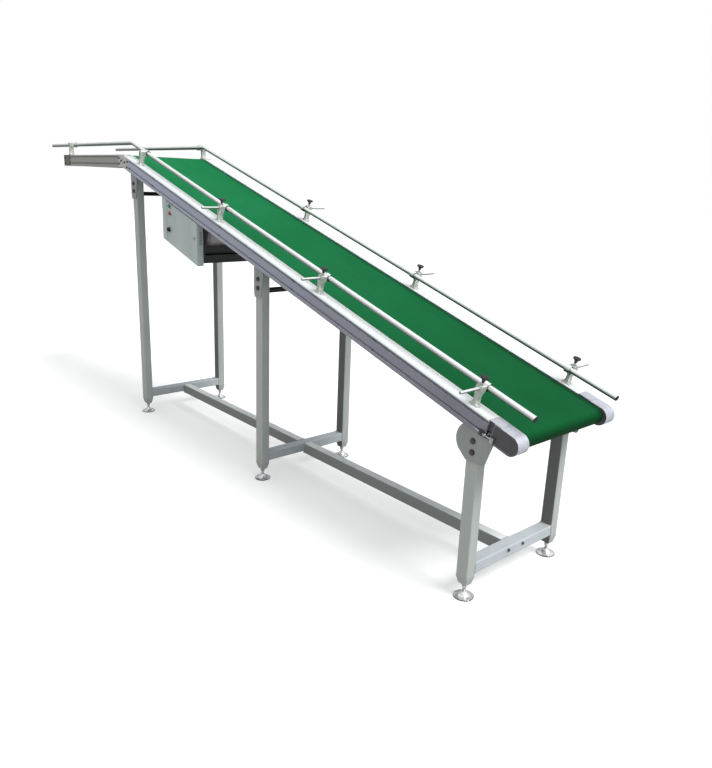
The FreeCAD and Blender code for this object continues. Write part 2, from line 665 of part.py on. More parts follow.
def feet():
    """Tapered plugs in the leg ends and a levelling foot in each."""
    plug = leg_plug()
    spots = {}
    for word, from_crest, _ in LEGS:
        for side, side_word in ((NEAR, "near"), (FAR, "far")):
            spots["foot_%s_%s" % (word, side_word)] = at(CREST.x + from_crest, side * d.leg_centre_y, 0)
    node_of_copies("leg_plugs", (plug, spots.values()))

    radius, stud = d.foot_radius, d.stud_radius
    profile = [(0, 0), (radius - 3, 0), (radius, 3), (radius, 6), arc((radius - 14, 11.5), (15, 22)),
               (12, 26), (stud, 26), (stud, d.stud_top - 1), (stud - 1, d.stud_top), (0, d.stud_top)]
    base = revolved("foot_base", "XZ_Plane", profile, at(0, 0, 0))
    nut = bind(doc.addObject("Part::Prism", "foot_nut"), Circumradius="11", Height="10")
    nut.Polygon = 6
    nut.Placement = at(0, 0, 44)
    foot = fuse("foot_master", base, nut)
    for name, place in spots.items():
        node_of_copies(name, (foot, [place]))


# ---------------------------------------------------------------- side guides
# Distances of the knobbed posts down the slope, and of the plain posts from the crest.
KNOBBED_POSTS = {NEAR: (1225.0, 2172.0, 3195.0), FAR: (1225.0, 2214.0, 3212.0)}
NEAR_UPPER_POST = 215.0
FAR_CREST_POST = -65.0
LEVEL_POST = -1010.0


def post_places(side):
    """Placements of the posts' feet on the rail's top: the knobbed ones and the plain ones."""
    y = side * d.post_y
    knobbed = [slope(s, y, 0) for s in KNOBBED_POSTS[side]]
    upper = slope(NEAR_UPPER_POST, y, 0) if side == NEAR else level(FAR_CREST_POST, y, 0)
    return knobbed, [upper, level(LEVEL_POST, y, 0)]


def guide_posts():
    """Cast posts: a foot on the rail, a waisted arm and a head bored for the spindle."""
    top = d.guide_height + 15
    outline = [(-20, 0.2), (20, 0.2), (20, 5), (11, 8), arc((7.5, 32), (11, 54)), (15, 60), (15, top - 3),
               (12, top), (-12, top), (-15, top - 3), (-15, 60), (-11, 54), arc((-7.5, 32), (-11, 8)),
               (-20, 5)]
    body = padded("post_body", "XZ_Plane", [outline], "post_depth", at(0, 0, 0))
    bore = cylinder("post_bore", "spindle_radius + running_gap", "post_depth + 4",
                    at(0, -d.post_depth / 2 - 2, d.guide_height, ACROSS))
    stem = cylinder("post_stem_hole", "knob_stem_radius + running_gap", "20",
                    at(0, 0, d.guide_height))
    post = cut("post", body, bore, stem)
    spots = []
    for side in (NEAR, FAR):
        knobbed, plain = post_places(side)
        spots += knobbed + plain
    node_of_copies("guide_posts", (post, spots))


def guide_path_body(name, side):
    """A bent round tube: level run, bend at the crest, long sloped run."""
    body, path = sketched_body(name, "XZ_Plane")
    run = d.level_guide_length + d.guide_height * HALF_TAN
    setback = d.guide_bend_radius * HALF_TAN
    start_bend = run - setback
    centre = (start_bend, -d.guide_bend_radius)
    tilt = math.radians(d.incline_deg)
    end_bend = (centre[0] + d.guide_bend_radius * SIN, centre[1] + d.guide_bend_radius * COS)
    mid_bend = (centre[0] + d.guide_bend_radius * math.sin(tilt / 2),
                centre[1] + d.guide_bend_radius * math.cos(tilt / 2))
    extra = d.far_guide_extra if side == FAR else 0.0
    remaining = d.slope_guide_length + extra + d.guide_height * HALF_TAN - setback
    low_end = (end_bend[0] + remaining * COS, end_bend[1] - remaining * SIN)
    path.addGeometry(Part.LineSegment(V(0, 0, 0), V(start_bend, 0, 0)), False)
    path.addGeometry(Part.Arc(V(start_bend, 0, 0), V(*mid_bend, 0), V(*end_bend, 0)), False)
    path.addGeometry(Part.LineSegment(V(*end_bend, 0), V(*low_end, 0)), False)
    plane = [feature for feature in body.Origin.OriginFeatures if feature.Role == "YZ_Plane"][0]
    profile = body.newObject("Sketcher::SketchObject", name + "_profile")
    profile.AttachmentSupport = [(plane, "")]
    profile.MapMode = "FlatFace"
    ring(profile, (0, 0), d.guide_radius)
    ring(profile, (0, 0), d.guide_radius - d.guide_wall)
    doc.recompute()
    pipe = body.newObject("PartDesign::AdditivePipe", name + "_pipe")
    pipe.Profile = profile
    pipe.Spine = (path, ["Edge1", "Edge2", "Edge3"])
    body.Placement = level(-d.level_guide_length, side * d.guide_y, d.guide_height)
    return body


def guide_clamp(name, side, reach):
    """Sleeve round the guide tube with a spindle that runs outwards through the post."""
    along = FreeCAD.Rotation(V(0, 1, 0), 90)
    sleeve = cylinder(name + "_sleeve", "guide_radius + 5.5", "26", at(-13, 0, 0, along))
    start = d.guide_radius + 2
    outwards = ACROSS if side == FAR else FreeCAD.Rotation(V(1, 0, 0), 90)
    spindle = cylinder(name + "_spindle", "spindle_radius", reach + " - guide_y - guide_radius - 2",
                       at(0, side * start, 0, outwards))
    bore = cylinder(name + "_bore", "guide_radius + running_gap", "40", at(-20, 0, 0, along))
    return cut(name, fuse(name + "_solid", sleeve, spindle), bore)


def side_guides():
    for side, word in ((NEAR, "near"), (FAR, "far")):
        node(guide_path_body("guide_rail_%s_body" % word, side), "guide_rail_" + word)
        clamps = [guide_clamp("%s_clamp_%s" % (kind, word), side, kind + "_spindle_end_y")
                  for kind in ("long", "short")]
        shift = at(0, side * (d.guide_y - d.post_y), d.guide_height)
        groups = [(clamp, [place.multiply(shift) for place in places])
                  for clamp, places in zip(clamps, post_places(side))]
        node_of_copies("guide_clamps_" + word, *groups)


def clamp_knobs():
    """Fan-shaped hand knobs whose stems press on the spindles."""
    head = d.guide_height + 15
    stem = d.knob_stem_radius
    stem_low = d.guide_height + d.spindle_radius + 0.2
    profile = [(0, stem_low), (stem, stem_low), (stem, head + 9), (5.5, head + 9), (6.5, head + 13),
               arc((10, head + 22), (17.5, head + 29)), (17.5, head + 33), (16.5, head + 34.5),
               (0, head + 35)]
    master = revolved("knob_master", "XZ_Plane", profile, at(0, 0, 0))
    for side, word in ((NEAR, "near"), (FAR, "far")):
        knobbed, _ = post_places(side)
        for number, place in enumerate(knobbed, start=1):
            node_of_copies("clamp_knob_%s_%d" % (word, number), (master, [place]))


# ---------------------------------------------------------------- drive station
def plate_section(side):
    """L section of a drive side plate: web beside the belt and flange under the rail, turned inwards."""
    inner, outer = d.plate_inner_y, d.plate_inner_y + d.plate_thickness
    flange = RAIL_INNER_Y + 0.5
    top, low = -d.rail_height - 0.2, -d.plate_bottom
    points = [(outer, top), (flange, top), (flange, top - d.plate_thickness),
              (inner, top - d.plate_thickness), (inner, low), (outer, low)]
    return [(side * y, h) for y, h in points]


def drive_station():
    plates = []
    snubs = (d.drum_at - d.snub_offset, d.drum_at + d.snub_offset)
    for side, word in ((NEAR, "near"), (FAR, "far")):
        web = padded("drive_plate_web_" + word, "YZ_Plane", [plate_section(side)],
                     "plate_end - plate_start", slope(d.plate_start, 0, 0), midplane=False)
        tools = []
        spots = [(s, return_depth, "small_shaft_radius + running_gap") for s in snubs]
        spots.append((d.drum_at, d.drum_depth, "output_radius + 0.5"))
        if side == FAR:
            spots.append((d.motor_at, d.motor_depth, "output_radius + running_gap"))
        for number, (s, depth, radius) in enumerate(spots):
            y = side * d.plate_inner_y - (0 if side == FAR else d.plate_thickness)
            tools.append(cylinder("drive_hole_%s_%d" % (word, number), radius, "plate_thickness + 2",
                                  turned(slope(s, y - 1, -depth), ACROSS)))
        plates.append(cut("drive_plate_" + word, web, *tools))
    node_of("drive_side_plates", *plates)

    inner = d.plate_inner_y
    width = "2 * plate_inner_y"
    end, low = d.plate_end, -d.plate_bottom
    deep, sheet_t = 50.0, 4.0
    channel = [(end - 40, low), (end, low), (end, low + deep), (end - 40, low + deep),
               (end - 40, low + deep - sheet_t), (end - sheet_t, low + deep - sheet_t),
               (end - sheet_t, low + sheet_t), (end - 40, low + sheet_t)]
    upper = [(d.plate_start, low), (d.plate_start + 5, low), (d.plate_start + 5, low + 90),
             (d.plate_start, low + 90)]
    strap = [(end - 5, -238), (end, -238), (end, -200), (end - 5, -200)]
    seat = -d.motor_depth - d.motor_radius
    base = [(d.motor_at - 80, seat - 8), (end - 42, seat - 8), (end - 42, seat), (d.motor_at - 80, seat)]
    crossings = [padded("drive_%s" % name, "XZ_Plane", [steps], width, slope(0, 0, 0))
                 for name, steps in (("channel", channel), ("end_plate", upper), ("strap", strap),
                                     ("motor_base", base))]
    rod = cylinder("drive_rod", "6", width, turned(slope(end - 12, -inner, -246), ACROSS))
    node_of("drive_cross_members", *crossings, rod)

    motor = revolved("motor_barrel", "XY_Plane",
                     [(0, -262), (30, -262), (46, -255), (56, -240), (56, -238), (d.motor_radius, -236),
                      (d.motor_radius, -66), (0, -66)], slope(d.motor_at, 0, -d.motor_depth))
    terminal = box("terminal_box", "70", "80", "34", slope(d.motor_at - 30, -222, -d.motor_depth + 52))
    node(fuse("motor_solid", motor, terminal), "motor_body")
    case = box("gear_case", "118", "120", "118",
               slope(d.motor_at - 59, -65.8, -d.motor_depth - 59))
    hole = cylinder("gear_hole", "output_radius + running_gap", "90",
                    turned(slope(d.motor_at, -20, -d.motor_depth), ACROSS))
    node(cut("gearbox_case", case, hole), "gearbox")


def sprocket_outline(tip, teeth):
    """Pointed-tooth wheel outline by formula."""
    points = []
    for index in range(4 * teeth):
        angle = 2 * math.pi * (index + 0.5) / (4 * teeth)
        radius = tip if index % 4 in (0, 1) else tip - 4.5
        points.append((radius * math.cos(angle), radius * math.sin(angle)))
    return points


def chain_drive():
    """Sprockets outside the far side plate and the chain round them."""
    place = slope(d.drum_at, d.chain_y, -d.drum_depth)
    hub = (0, 0)
    node(padded("drum_wheel", "XZ_Plane", [sprocket_outline(d.drum_sprocket_radius, 21)], "5", place,
                circles=[(hub, d.output_radius)]), "drum_sprocket")
    wheel = padded("motor_wheel", "XZ_Plane", [sprocket_outline(d.motor_sprocket_radius, 14)], "5",
                   slope(d.motor_at, d.chain_y, -d.motor_depth))
    shaft = cylinder("output_shaft", "output_radius", "329",
                     turned(slope(d.motor_at, -16, -d.motor_depth), ACROSS))
    node(fuse("motor_wheel_solid", wheel, shaft), "motor_sprocket")

    gap = 0.3
    wraps = [(slope_point(d.drum_at, -d.drum_depth), d.drum_sprocket_radius + gap),
             (slope_point(d.motor_at, -d.motor_depth), d.motor_sprocket_radius + gap)]
    loops = []
    for grow in (0.0, d.chain_height):
        (first, r_first), (second, r_second) = [(centre, radius + grow) for centre, radius in wraps]
        gap_x, gap_z = second[0] - first[0], second[1] - first[1]
        lean = math.atan2(gap_z, gap_x)
        spread = math.acos((r_first - r_second) / math.hypot(gap_x, gap_z))

        def on(centre, radius, angle):
            return (centre[0] + radius * math.cos(angle), centre[1] + radius * math.sin(angle))

        loops.append([on(first, r_first, lean + spread), arc(on(first, r_first, lean + math.pi),
                                                             on(first, r_first, lean - spread)),
                      on(second, r_second, lean - spread), arc(on(second, r_second, lean),
                                                               on(second, r_second, lean + spread))])
    node(padded("chain_loop", "XZ_Plane", loops, "chain_width", level(0, d.chain_y, 0)), "drive_chain")


BRACKET_Y = 278.0


def roller_brackets():
    """Small plates under the rails that hold the return rollers' shafts."""
    reach = return_depth + 16
    outline = [(-18, -d.rail_height), (18, -d.rail_height), (14, -reach), (-14, -reach)]
    hole = [((0, -return_depth), d.small_shaft_radius + d.running_gap)]
    x, _ = crest_point(return_depth)
    crest_outline = [(x - 20, -d.rail_height), (-d.rail_setback, -d.rail_height),
                     slope_point(30, -d.rail_height), (x + 14, -reach), (x - 14, -reach)]
    pieces = []
    for side, word in ((NEAR, "near"), (FAR, "far")):
        y = side * BRACKET_Y
        pieces.append(padded("crest_bracket_" + word, "XZ_Plane", [crest_outline], "4", level(0, y, 0),
                             circles=[((x, -return_depth), d.small_shaft_radius + d.running_gap)]))
        for name, s in (("upper", d.upper_return_at), ("lower", d.lower_return_at)):
            pieces.append(padded("%s_bracket_%s" % (name, word), "XZ_Plane", [outline], "4",
                                 slope(s, y, 0), circles=hole))
    node_of("roller_brackets", *pieces)


# ---------------------------------------------------------------- control box
def leaning_outline(left, right, inset, gap):
    """Parallelogram under the near rail: upright sides, top and bottom parallel to the slope."""
    top = (d.rail_height + gap) / COS + inset
    bottom = (d.rail_height + d.box_gap) / COS + d.box_drop - inset
    points = []
    for x, drop in ((left + inset, top), (right - inset, top), (right - inset, bottom),
                    (left + inset, bottom)):
        points.append((x, top_plane(x) - drop - d.crest_height))
    return points


def control_box():
    back_y = d.plate_inner_y + d.plate_thickness
    split_y = 316.0
    thin = d.box_sheet
    left, right, hinge = d.box_left, d.box_right, d.door_left - 3

    def slab(name, outline, y_from, y_to, circles=()):
        return padded(name, "XZ_Plane", [outline], "%g" % (y_to - y_from),
                      level(0, -(y_from + y_to) / 2, 0), circles=circles)

    tray = slab("box_tray", leaning_outline(left, right, 0, d.box_gap), back_y, split_y)
    hollow = slab("box_hollow", leaning_outline(left, right, thin, d.box_gap), back_y + thin,
                  split_y + 1)
    strip = slab("box_strip", leaning_outline(left, d.door_left - 5, 0, d.box_gap), split_y - 1,
                 d.box_outer_y)
    strip_hollow = slab("box_strip_hollow", leaning_outline(left, d.door_left - 5, thin, d.box_gap),
                        split_y - 2, d.box_outer_y - thin)
    barrel_y = -(d.box_outer_y + 1.8)
    barrel_x = CREST.x + hinge + 0.5
    base = top_plane(hinge) - (d.rail_height + d.box_gap) / COS - d.box_drop
    barrels, knuckles, door_relief, box_relief = [], [], [], []
    for index, height in enumerate((35, 190)):
        low, high = base + height, base + height + 16.2
        barrels.append(cylinder("barrel_%d" % index, "hinge_radius", "16", at(barrel_x, barrel_y, low)))
        knuckles.append(cylinder("knuckle_%d" % index, "hinge_radius", "16", at(barrel_x, barrel_y, high)))
        door_relief.append(cylinder("door_relief_%d" % index, "hinge_radius + 0.5", "16.1",
                                    at(barrel_x, barrel_y, low)))
        box_relief.append(cylinder("box_relief_%d" % index, "hinge_radius + 0.5", "16.1",
                                   at(barrel_x, barrel_y, high - 0.05)))
    shell = cut("box_shell", fuse("box_joined", tray, strip), hollow, strip_hollow, *box_relief)
    node(fuse("box_with_barrels", shell, *barrels), "control_box")

    door_shape = slab("door_slab", leaning_outline(d.door_left, right, 0, d.door_gap), split_y + 0.4,
                      d.box_outer_y)
    door_hollow = slab("door_hollow", leaning_outline(d.door_left, right, thin, d.door_gap), split_y - 1,
                       d.box_outer_y - thin)
    tools = [door_hollow] + door_relief
    for index, (x, z, radius) in enumerate(CONTROLS.values()):
        tools.append(cylinder("door_hole_%d" % index, "%g" % (radius + d.running_gap), "20",
                              at(CREST.x + x, -d.box_outer_y - 5, z, ACROSS)))
    door = cut("door_shell", door_shape, *tools)
    node(fuse("door_with_knuckles", door, *knuckles), "control_box_door")

    for name, (x, z, radius) in CONTROLS.items():
        face = d.box_outer_y
        if name == "speed_knob":
            wide = d.speed_knob_radius
            steps = [(0, face - 10), (radius, face - 10), (radius, face + 1), (wide, face + 1),
                     (wide - 1.5, face + 16), (wide - 3, face + 17.5), (0, face + 17.5)]
        else:
            wide, rest = d.button_radius, face + d.button_travel + 0.5
            steps = [(0, face - 10), (radius, face - 10), (radius, rest), (wide, rest),
                     (wide, rest + 5), (wide - 1.5, rest + 6.5), (0, rest + 6.5)]
        turn = FreeCAD.Rotation(V(0, 0, 1), 180)
        node(revolved(name + "_turned", "XY_Plane", steps, at(CREST.x + x, 0, z, turn)), name)


# Controls on the door: (distance from the crest, height, stem radius).
CONTROLS = {"start_button": (650.0, 1450.0, 5.0), "stop_button": (650.0, 1408.0, 5.0),
            "speed_knob": (638.0, 1312.0, 3.0)}


# ---------------------------------------------------------------- build, check and write
def main():
    for make in (side_rails, crest_plates, conveyor_belt, rollers, slider_bed, frame_spreaders,
                 tail_blocks, head_blocks, bearings, tension_screws, legs, stretchers, rail_hangers,
                 bolts, feet, guide_posts, side_guides, clamp_knobs, drive_station, chain_drive,
                 roller_brackets, control_box):
        make()
    doc.recompute()
    for item in doc.Objects:
        if "Invalid" in item.State or "Error" in item.State:
            raise RuntimeError("%s failed: %s" % (item.Name, item.State))
    names = [piece.Label for piece in nodes]
    if len(set(names)) != len(names) or len(names) > 60:
        raise RuntimeError("node names clash or there are too many: %d" % len(names))
    os.makedirs("parts", exist_ok=True)
    for piece in nodes:
        shape = piece.Shape
        if shape.isNull() or not shape.isValid() or not shape.Solids:
            raise RuntimeError("%s has no valid solid" % piece.Label)
        shape.exportStep("parts/%s.step" % piece.Label)
        print("%-24s %3d solids %12.1f mm3" % (piece.Label, len(shape.Solids), shape.Volume))
    print(len(nodes), "nodes")


main()
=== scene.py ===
"""Looks of the inclined belt conveyor: materials, belt, small fittings, studio and camera.

Lengths are in metres, apart from those handed to mm()."""
import json
from bisect import bisect_right
from collections import namedtuple
from math import asin, atan2, cos, pi, radians, sin

import bmesh
import bpy
from mathutils import Matrix, Vector


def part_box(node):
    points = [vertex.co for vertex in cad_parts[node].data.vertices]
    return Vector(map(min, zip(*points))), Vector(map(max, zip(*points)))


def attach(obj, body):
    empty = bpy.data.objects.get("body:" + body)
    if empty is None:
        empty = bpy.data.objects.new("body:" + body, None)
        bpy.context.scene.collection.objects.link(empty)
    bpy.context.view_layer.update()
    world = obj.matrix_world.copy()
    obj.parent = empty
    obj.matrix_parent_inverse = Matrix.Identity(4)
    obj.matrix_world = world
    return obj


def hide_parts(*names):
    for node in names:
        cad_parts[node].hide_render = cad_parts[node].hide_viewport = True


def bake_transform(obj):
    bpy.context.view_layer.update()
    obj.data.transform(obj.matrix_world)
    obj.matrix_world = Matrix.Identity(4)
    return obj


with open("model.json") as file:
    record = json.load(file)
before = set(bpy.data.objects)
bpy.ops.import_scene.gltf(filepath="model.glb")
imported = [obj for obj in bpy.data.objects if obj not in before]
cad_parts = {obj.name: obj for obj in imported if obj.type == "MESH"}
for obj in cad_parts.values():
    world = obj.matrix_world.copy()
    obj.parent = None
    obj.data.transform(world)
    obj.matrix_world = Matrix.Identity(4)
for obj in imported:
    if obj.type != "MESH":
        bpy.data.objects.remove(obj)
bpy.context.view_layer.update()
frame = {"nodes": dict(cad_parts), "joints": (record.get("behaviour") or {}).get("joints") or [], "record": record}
NODES = frame["nodes"]

# ---------------- layout taken from the frame
JOINTS = {joint["name"]: joint for joint in frame["joints"]}
BODIES = sorted(frame["record"]["behaviour"]["bodies"])
DOWN = Vector(JOINTS["belt_tension"]["axis"]).normalized()
NORMAL = Vector((-DOWN.z, 0, DOWN.x))
COS, SIN = DOWN.x, -DOWN.z  # of the incline
LEVEL_REACH = 1.09  # from the crest back to the discharge end's face
CREST = Vector((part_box("head_blocks")[0].x + LEVEL_REACH, 0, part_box("side_rails")[1].z))
CREST_MARGIN = 0.02  # parts nearer to the crest than this stand on the slope
RAIL_OUTER_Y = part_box("side_rails")[1].y
RAIL_HEIGHT = 0.08
TILT = Matrix((DOWN, Vector((0, 1, 0)), NORMAL)).transposed().to_4x4()
SIDES = {"near": -1, "far": 1}

Solid = namedtuple("Solid", "low high middle side")  # box corners, middle, -1 near or 1 far


def mm(*lengths):
    """Metres from millimetres, for numbers or tuples of numbers."""
    return tuple(mm(*one) if isinstance(one, tuple) else one / 1000 for one in lengths)


def at(x, y, z):
    return Matrix.Translation((x, y, z))


def turned(degrees, axis):
    return Matrix.Rotation(radians(degrees), 4, axis)


def ring(count, axis="Z", start=0.0):
    """Turns that space things evenly round an axis."""
    return [turned(start + 360 * k / count, axis) for k in range(count)]


def outward(side):
    """Turn of a lathe's +Z axis away from the centreline."""
    return turned(90 if side < 0 else -90, "X")


def slope(s, y, h):
    """Point of the slope frame: s down the slope, y across, h square to it."""
    return CREST + DOWN * s + NORMAL * h + Vector((0, y, 0))


def slope_frame(s, y, h):
    """The slope frame's axes moved to one of its points."""
    return at(*slope(s, y, h)) @ TILT


def down_slope(point):
    """Distance of a point down the slope from the crest."""
    return (point - CREST).dot(DOWN)


def on_level(point):
    return point.x < CREST.x - CREST_MARGIN


def centre(node):
    low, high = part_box(node)
    return (low + high) / 2


def solids(node):
    """A node's separate solids, sorted by place."""
    mesh = bmesh.new()
    mesh.from_mesh(NODES[node].data)
    bmesh.ops.remove_doubles(mesh, verts=mesh.verts, dist=1e-6)
    waiting, found = set(mesh.verts), []
    while waiting:
        group, edge = [], [waiting.pop()]
        while edge:
            vert = edge.pop()
            group.append(vert.co)
            for link in vert.link_edges:
                other = link.other_vert(vert)
                if other in waiting:
                    waiting.discard(other)
                    edge.append(other)
        low, high = (Vector(map(pick, zip(*group))) for pick in (min, max))
        middle = (low + high) / 2
        found.append(Solid(low, high, middle, -1 if middle.y < 0 else 1))
    mesh.free()
    return sorted(found, key=lambda one: tuple(round(value, 4) for value in (*one.low, *one.high)))


# ---------------- node-tree helpers
class Tree:
    """Short helpers round a material's or the world's nodes; sockets are passed around as values."""

    def __init__(self, node_tree=None):
        if node_tree is None:
            self.material = bpy.data.materials.new("surface")
            self.material.use_nodes = True
            node_tree = self.material.node_tree
        self.nodes, self.links = node_tree.nodes, node_tree.links

    def plug(self, socket, value):
        """Link a socket, or set a number, vector or colour; a colour may be a hex string."""
        if isinstance(value, bpy.types.NodeSocket):
            self.links.new(value, socket)
        else:
            if isinstance(value, str):
                value = linear(value)
            if isinstance(value, tuple) and len(value) < len(socket.default_value):
                value = (*value, 1)
            socket.default_value = value

    def node(self, kind, inputs=None, **settings):
        """Add a node, set its own properties, then plug values into the inputs named by key."""
        node = self.nodes.new("ShaderNode" + kind)
        for name, value in settings.items():
            setattr(node, name, value)
        for key, value in (inputs or {}).items():
            self.plug(node.inputs[key], value)
        return node

    def set(self, **inputs):
        """Set inputs of the principled shader, with underscores for spaces."""
        for name, value in inputs.items():
            self.plug(self.nodes["Principled BSDF"].inputs[name.replace("_", " ")], value)

    def surface(self, colour, roughness, relief, bevel=0.0, **others):
        """Finish a material: roughness, perhaps as (pattern, least, most), and relief as (pattern,
        depth, strength)."""
        if isinstance(roughness, tuple):
            pattern, least, most = roughness
            roughness = self.spread(pattern, 0.3, 0.7, least, most)
        pattern, depth, strength = relief
        inputs = {"Height": pattern, "Distance": depth, "Strength": strength}
        if bevel:
            inputs["Normal"] = self.rounded(bevel)
        normal = self.node("Bump", inputs).outputs[0]
        self.set(Base_Color=colour, Roughness=roughness, Normal=normal, **others)
        return self.material

    def math(self, operation, a, b=0.0, clamp=False):
        return self.node("Math", {0: a, 1: b}, operation=operation, use_clamp=clamp).outputs[0]

    def times(self, a, b, clamp=False):
        return self.math("MULTIPLY", a, b, clamp)

    def position(self):
        return self.node("TexCoord").outputs["Object"]

    def split(self, vector):
        return self.node("SeparateXYZ", {0: vector}).outputs

    def scaled(self, vector, factors):
        return self.node("VectorMath", {0: vector, 1: factors}, operation="MULTIPLY").outputs[0]

    def along_frame(self):
        """Coordinates along the conveyor: distance from the crest, y, height over the top."""
        x, y, z = self.split(self.position())
        dx = self.math("SUBTRACT", x, CREST.x)
        dz = self.math("SUBTRACT", z, CREST.z)
        s = self.math("SUBTRACT", self.times(dx, COS), self.times(dz, SIN))
        h = self.math("ADD", self.times(dx, SIN), self.times(dz, COS))
        below = self.math("GREATER_THAN", dx, 0)
        run, rise = (self.node("Mix", {0: below, 2: level, 3: sloped}).outputs[0]
                     for level, sloped in ((dx, s), (dz, h)))
        return self.node("CombineXYZ", {0: run, 1: y, 2: rise}).outputs[0]

    def noise(self, vector, scale, detail=3, rough=0.55):
        inputs = {"Vector": vector, "Scale": scale, "Detail": detail, "Roughness": rough}
        return self.node("TexNoise", inputs).outputs["Fac"]

    def spread(self, value, low, high, to_low=0.0, to_high=1):
        return self.node("MapRange", dict(enumerate((value, low, high, to_low, to_high)))).outputs[0]

    def mix(self, factor, a, b):
        return self.node("Mix", {0: factor, 6: a, 7: b}, data_type="RGBA").outputs[2]

    def patches(self, pattern, low, high, under, over, most=1):
        """Colour that goes from one to the other as a pattern's value goes from low to high."""
        return self.mix(self.spread(pattern, low, high, 0, most), under, over)

    def own_normal(self):
        return self.node("NewGeometry").outputs["Normal"]

    def facing(self, axis):
        """Component of the surface's own normal along one world axis."""
        return self.split(self.own_normal())[axis]

    def upward(self, low, high):
        return self.spread(self.facing(2), low, high)

    def cavity(self, reach):
        """About 1 in the open and 0 deep in grooves and corners of the same piece."""
        node = self.node("AmbientOcclusion", {"Distance": reach}, samples=4, only_local=True)
        return self.spread(node.outputs["AO"], 0.25, 0.8)

    def rounded(self, radius):
        """Shading normal with edges rounded off by a radius."""
        return self.node("Bevel", {"Radius": radius}, samples=4).outputs[0]

    def edge(self, radius):
        """About 1 near sharp edges and 0 elsewhere."""
        normals = {0: self.rounded(radius), 1: self.own_normal()}
        aligned = self.node("VectorMath", normals, operation="DOT_PRODUCT").outputs["Value"]
        return self.times(self.math("SUBTRACT", 1, aligned), 3, clamp=True)

    def rims(self, body, rim, radius, share=1):
        """Colour of the body with a share of another colour along its edges."""
        edge = self.edge(radius)
        return self.mix(self.times(edge, share) if share < 1 else edge, body, rim)


def linear(colour, share=1, lift=0.0):
    """Linear colour from a display colour in hex, made a share as bright."""
    parts = [int(colour[k:k + 2], 16) / 255 for k in (0, 2, 4)]
    parts = [part / 12.92 if part <= 0.04045 else ((part + 0.055) / 1.055) ** 2.4 for part in parts]
    return tuple(min(1, part * share + lift) for part in parts)


# ---------------- materials
def extruded_aluminium():
    """Drawn, anodised: tops painted light, sides in painted shade that darkens towards the low end, and painted
    shade in the grooves.
    """
    tree = Tree()
    run = tree.along_frame()
    along = tree.split(run)[0]
    lines = tree.noise(tree.scaled(run, (2, 900, 900)), 1, 2)
    cloud = tree.noise(run, 6, 4)
    upward = tree.upward(0.25, 0.85)
    # painted shade: the side colour darkens towards the low end
    side = tree.patches(along, 0.2, 3.2, "d6dbf0", "8a8993")
    side = tree.patches(cloud, 0.3, 0.75, side, "acaebe", 0.5)
    # painted light: faces that look up are painted near white over the shaded sides
    body = tree.mix(upward, side, "f8fcfc")
    # the level part gets its own lit top and shaded side, as painted light and painted shade
    level_part = tree.math("LESS_THAN", along, 0)
    body = tree.mix(level_part, body, tree.mix(upward, "bcbbb4", "d8d8d1"))
    # painted shade in grooves and corners
    body = tree.mix(tree.cavity(0.012), "2c2c34", body)
    return tree.surface(
        tree.rims(body, "eceff4", 0.0012, 0.6), tree.spread(lines, 0.2, 0.8, 0.32, 0.46),
        (lines, 0.00004, 0.5), 0.0008, Metallic=0.45)


def machined_block(upper, lower):
    """Milled aluminium: pale rims, tops and ends painted light, side faces in painted shade that is darker at the
    low end, and painted shade in corners.
    """
    tree = Tree()
    spot = tree.position()
    grain = tree.noise(spot, 900)
    cloud = tree.noise(spot, 30, 4)
    sideways = tree.spread(tree.math("ABSOLUTE", tree.facing(1)), 0.75, 0.95)
    along = tree.split(tree.along_frame())[0]
    # painted shade: the side faces of the low end's blocks are painted darker
    face = tree.mix(tree.math("GREATER_THAN", along, 1), upper, lower)
    # painted light: faces that do not look sideways are painted pale over the shaded side faces
    body = tree.mix(sideways, "d6d9e2", face)
    body = tree.patches(cloud, 0.35, 0.8, body, "78787e", 0.4)
    # painted shade in corners
    body = tree.mix(tree.cavity(0.01), "323238", body)
    return tree.surface(
        tree.rims(body, "e1e4e8", 0.002, 0.8), (cloud, 0.36, 0.5), (grain, 0.00015, 0.5), 0.0015,
        Metallic=0.55)


def cast_aluminium(light, dark, rough):
    tree = Tree()
    spot = tree.position()
    grain = tree.noise(spot, 700, 4, 0.65)
    cloud = tree.noise(spot, 40, 4)
    body = tree.patches(cloud, 0.3, 0.7, dark, light)
    return tree.surface(
        tree.rims(body, "e1e2e0", 0.002), (cloud, rough, rough + 0.14), (grain, 0.0003, 0.6), 0.0015,
        Metallic=0.6)


def painted_steel(light, dark, rough=0.42, wear=None, corner_shade=None, near=None):
    """Sprayed coat: orange peel, painted shade in corners, thin or worn edges, and painted light and shade on
    faces that look to the near side.
    """
    tree = Tree()
    spot = tree.position()
    skin = tree.noise(spot, 450, 2)
    cloud = tree.noise(tree.scaled(spot, (1, 1, 0.35)), 9, 5, 0.6)
    body = tree.patches(cloud, 0.35, 0.7, light, dark)
    # painted light and shade: faces that look to the near side take the given near colour on the near half, and a
    # darker painted shade of it on the far half
    if near:
        far_side = tree.math("GREATER_THAN", tree.split(spot)[1], 0.1)
        shade = tree.mix(far_side, near, linear(near, 0.3))
        body = tree.mix(tree.spread(tree.facing(1), -0.9, -0.4, 1, 0), body, shade)
    # painted shade in corners
    if corner_shade:
        body = tree.mix(tree.cavity(0.03), corner_shade, body)
    body = tree.rims(body, linear(light, 1.35), 0.003, 0.5)
    metallic = 0.0
    if wear:
        chips = tree.spread(tree.noise(spot, 160, 4, 0.7), 0.45, 0.6)
        bare = tree.times(tree.edge(0.002), chips, clamp=True)
        body = tree.mix(bare, body, wear)
        metallic = tree.times(bare, 0.8)
    return tree.surface(
        body, (cloud, rough, rough + 0.1), (skin, 0.00012, 0.4), 0.002, Metallic=metallic,
        Coat_Weight=0.12, Coat_Roughness=0.25)


SPLICE_AT, SPLICE_SKEW, SPLICE_HALF = 2.05, 0.36, 0.0006  # the joint lies in the return run
RETURN_RISE = -0.04  # the belt below this height is the return run


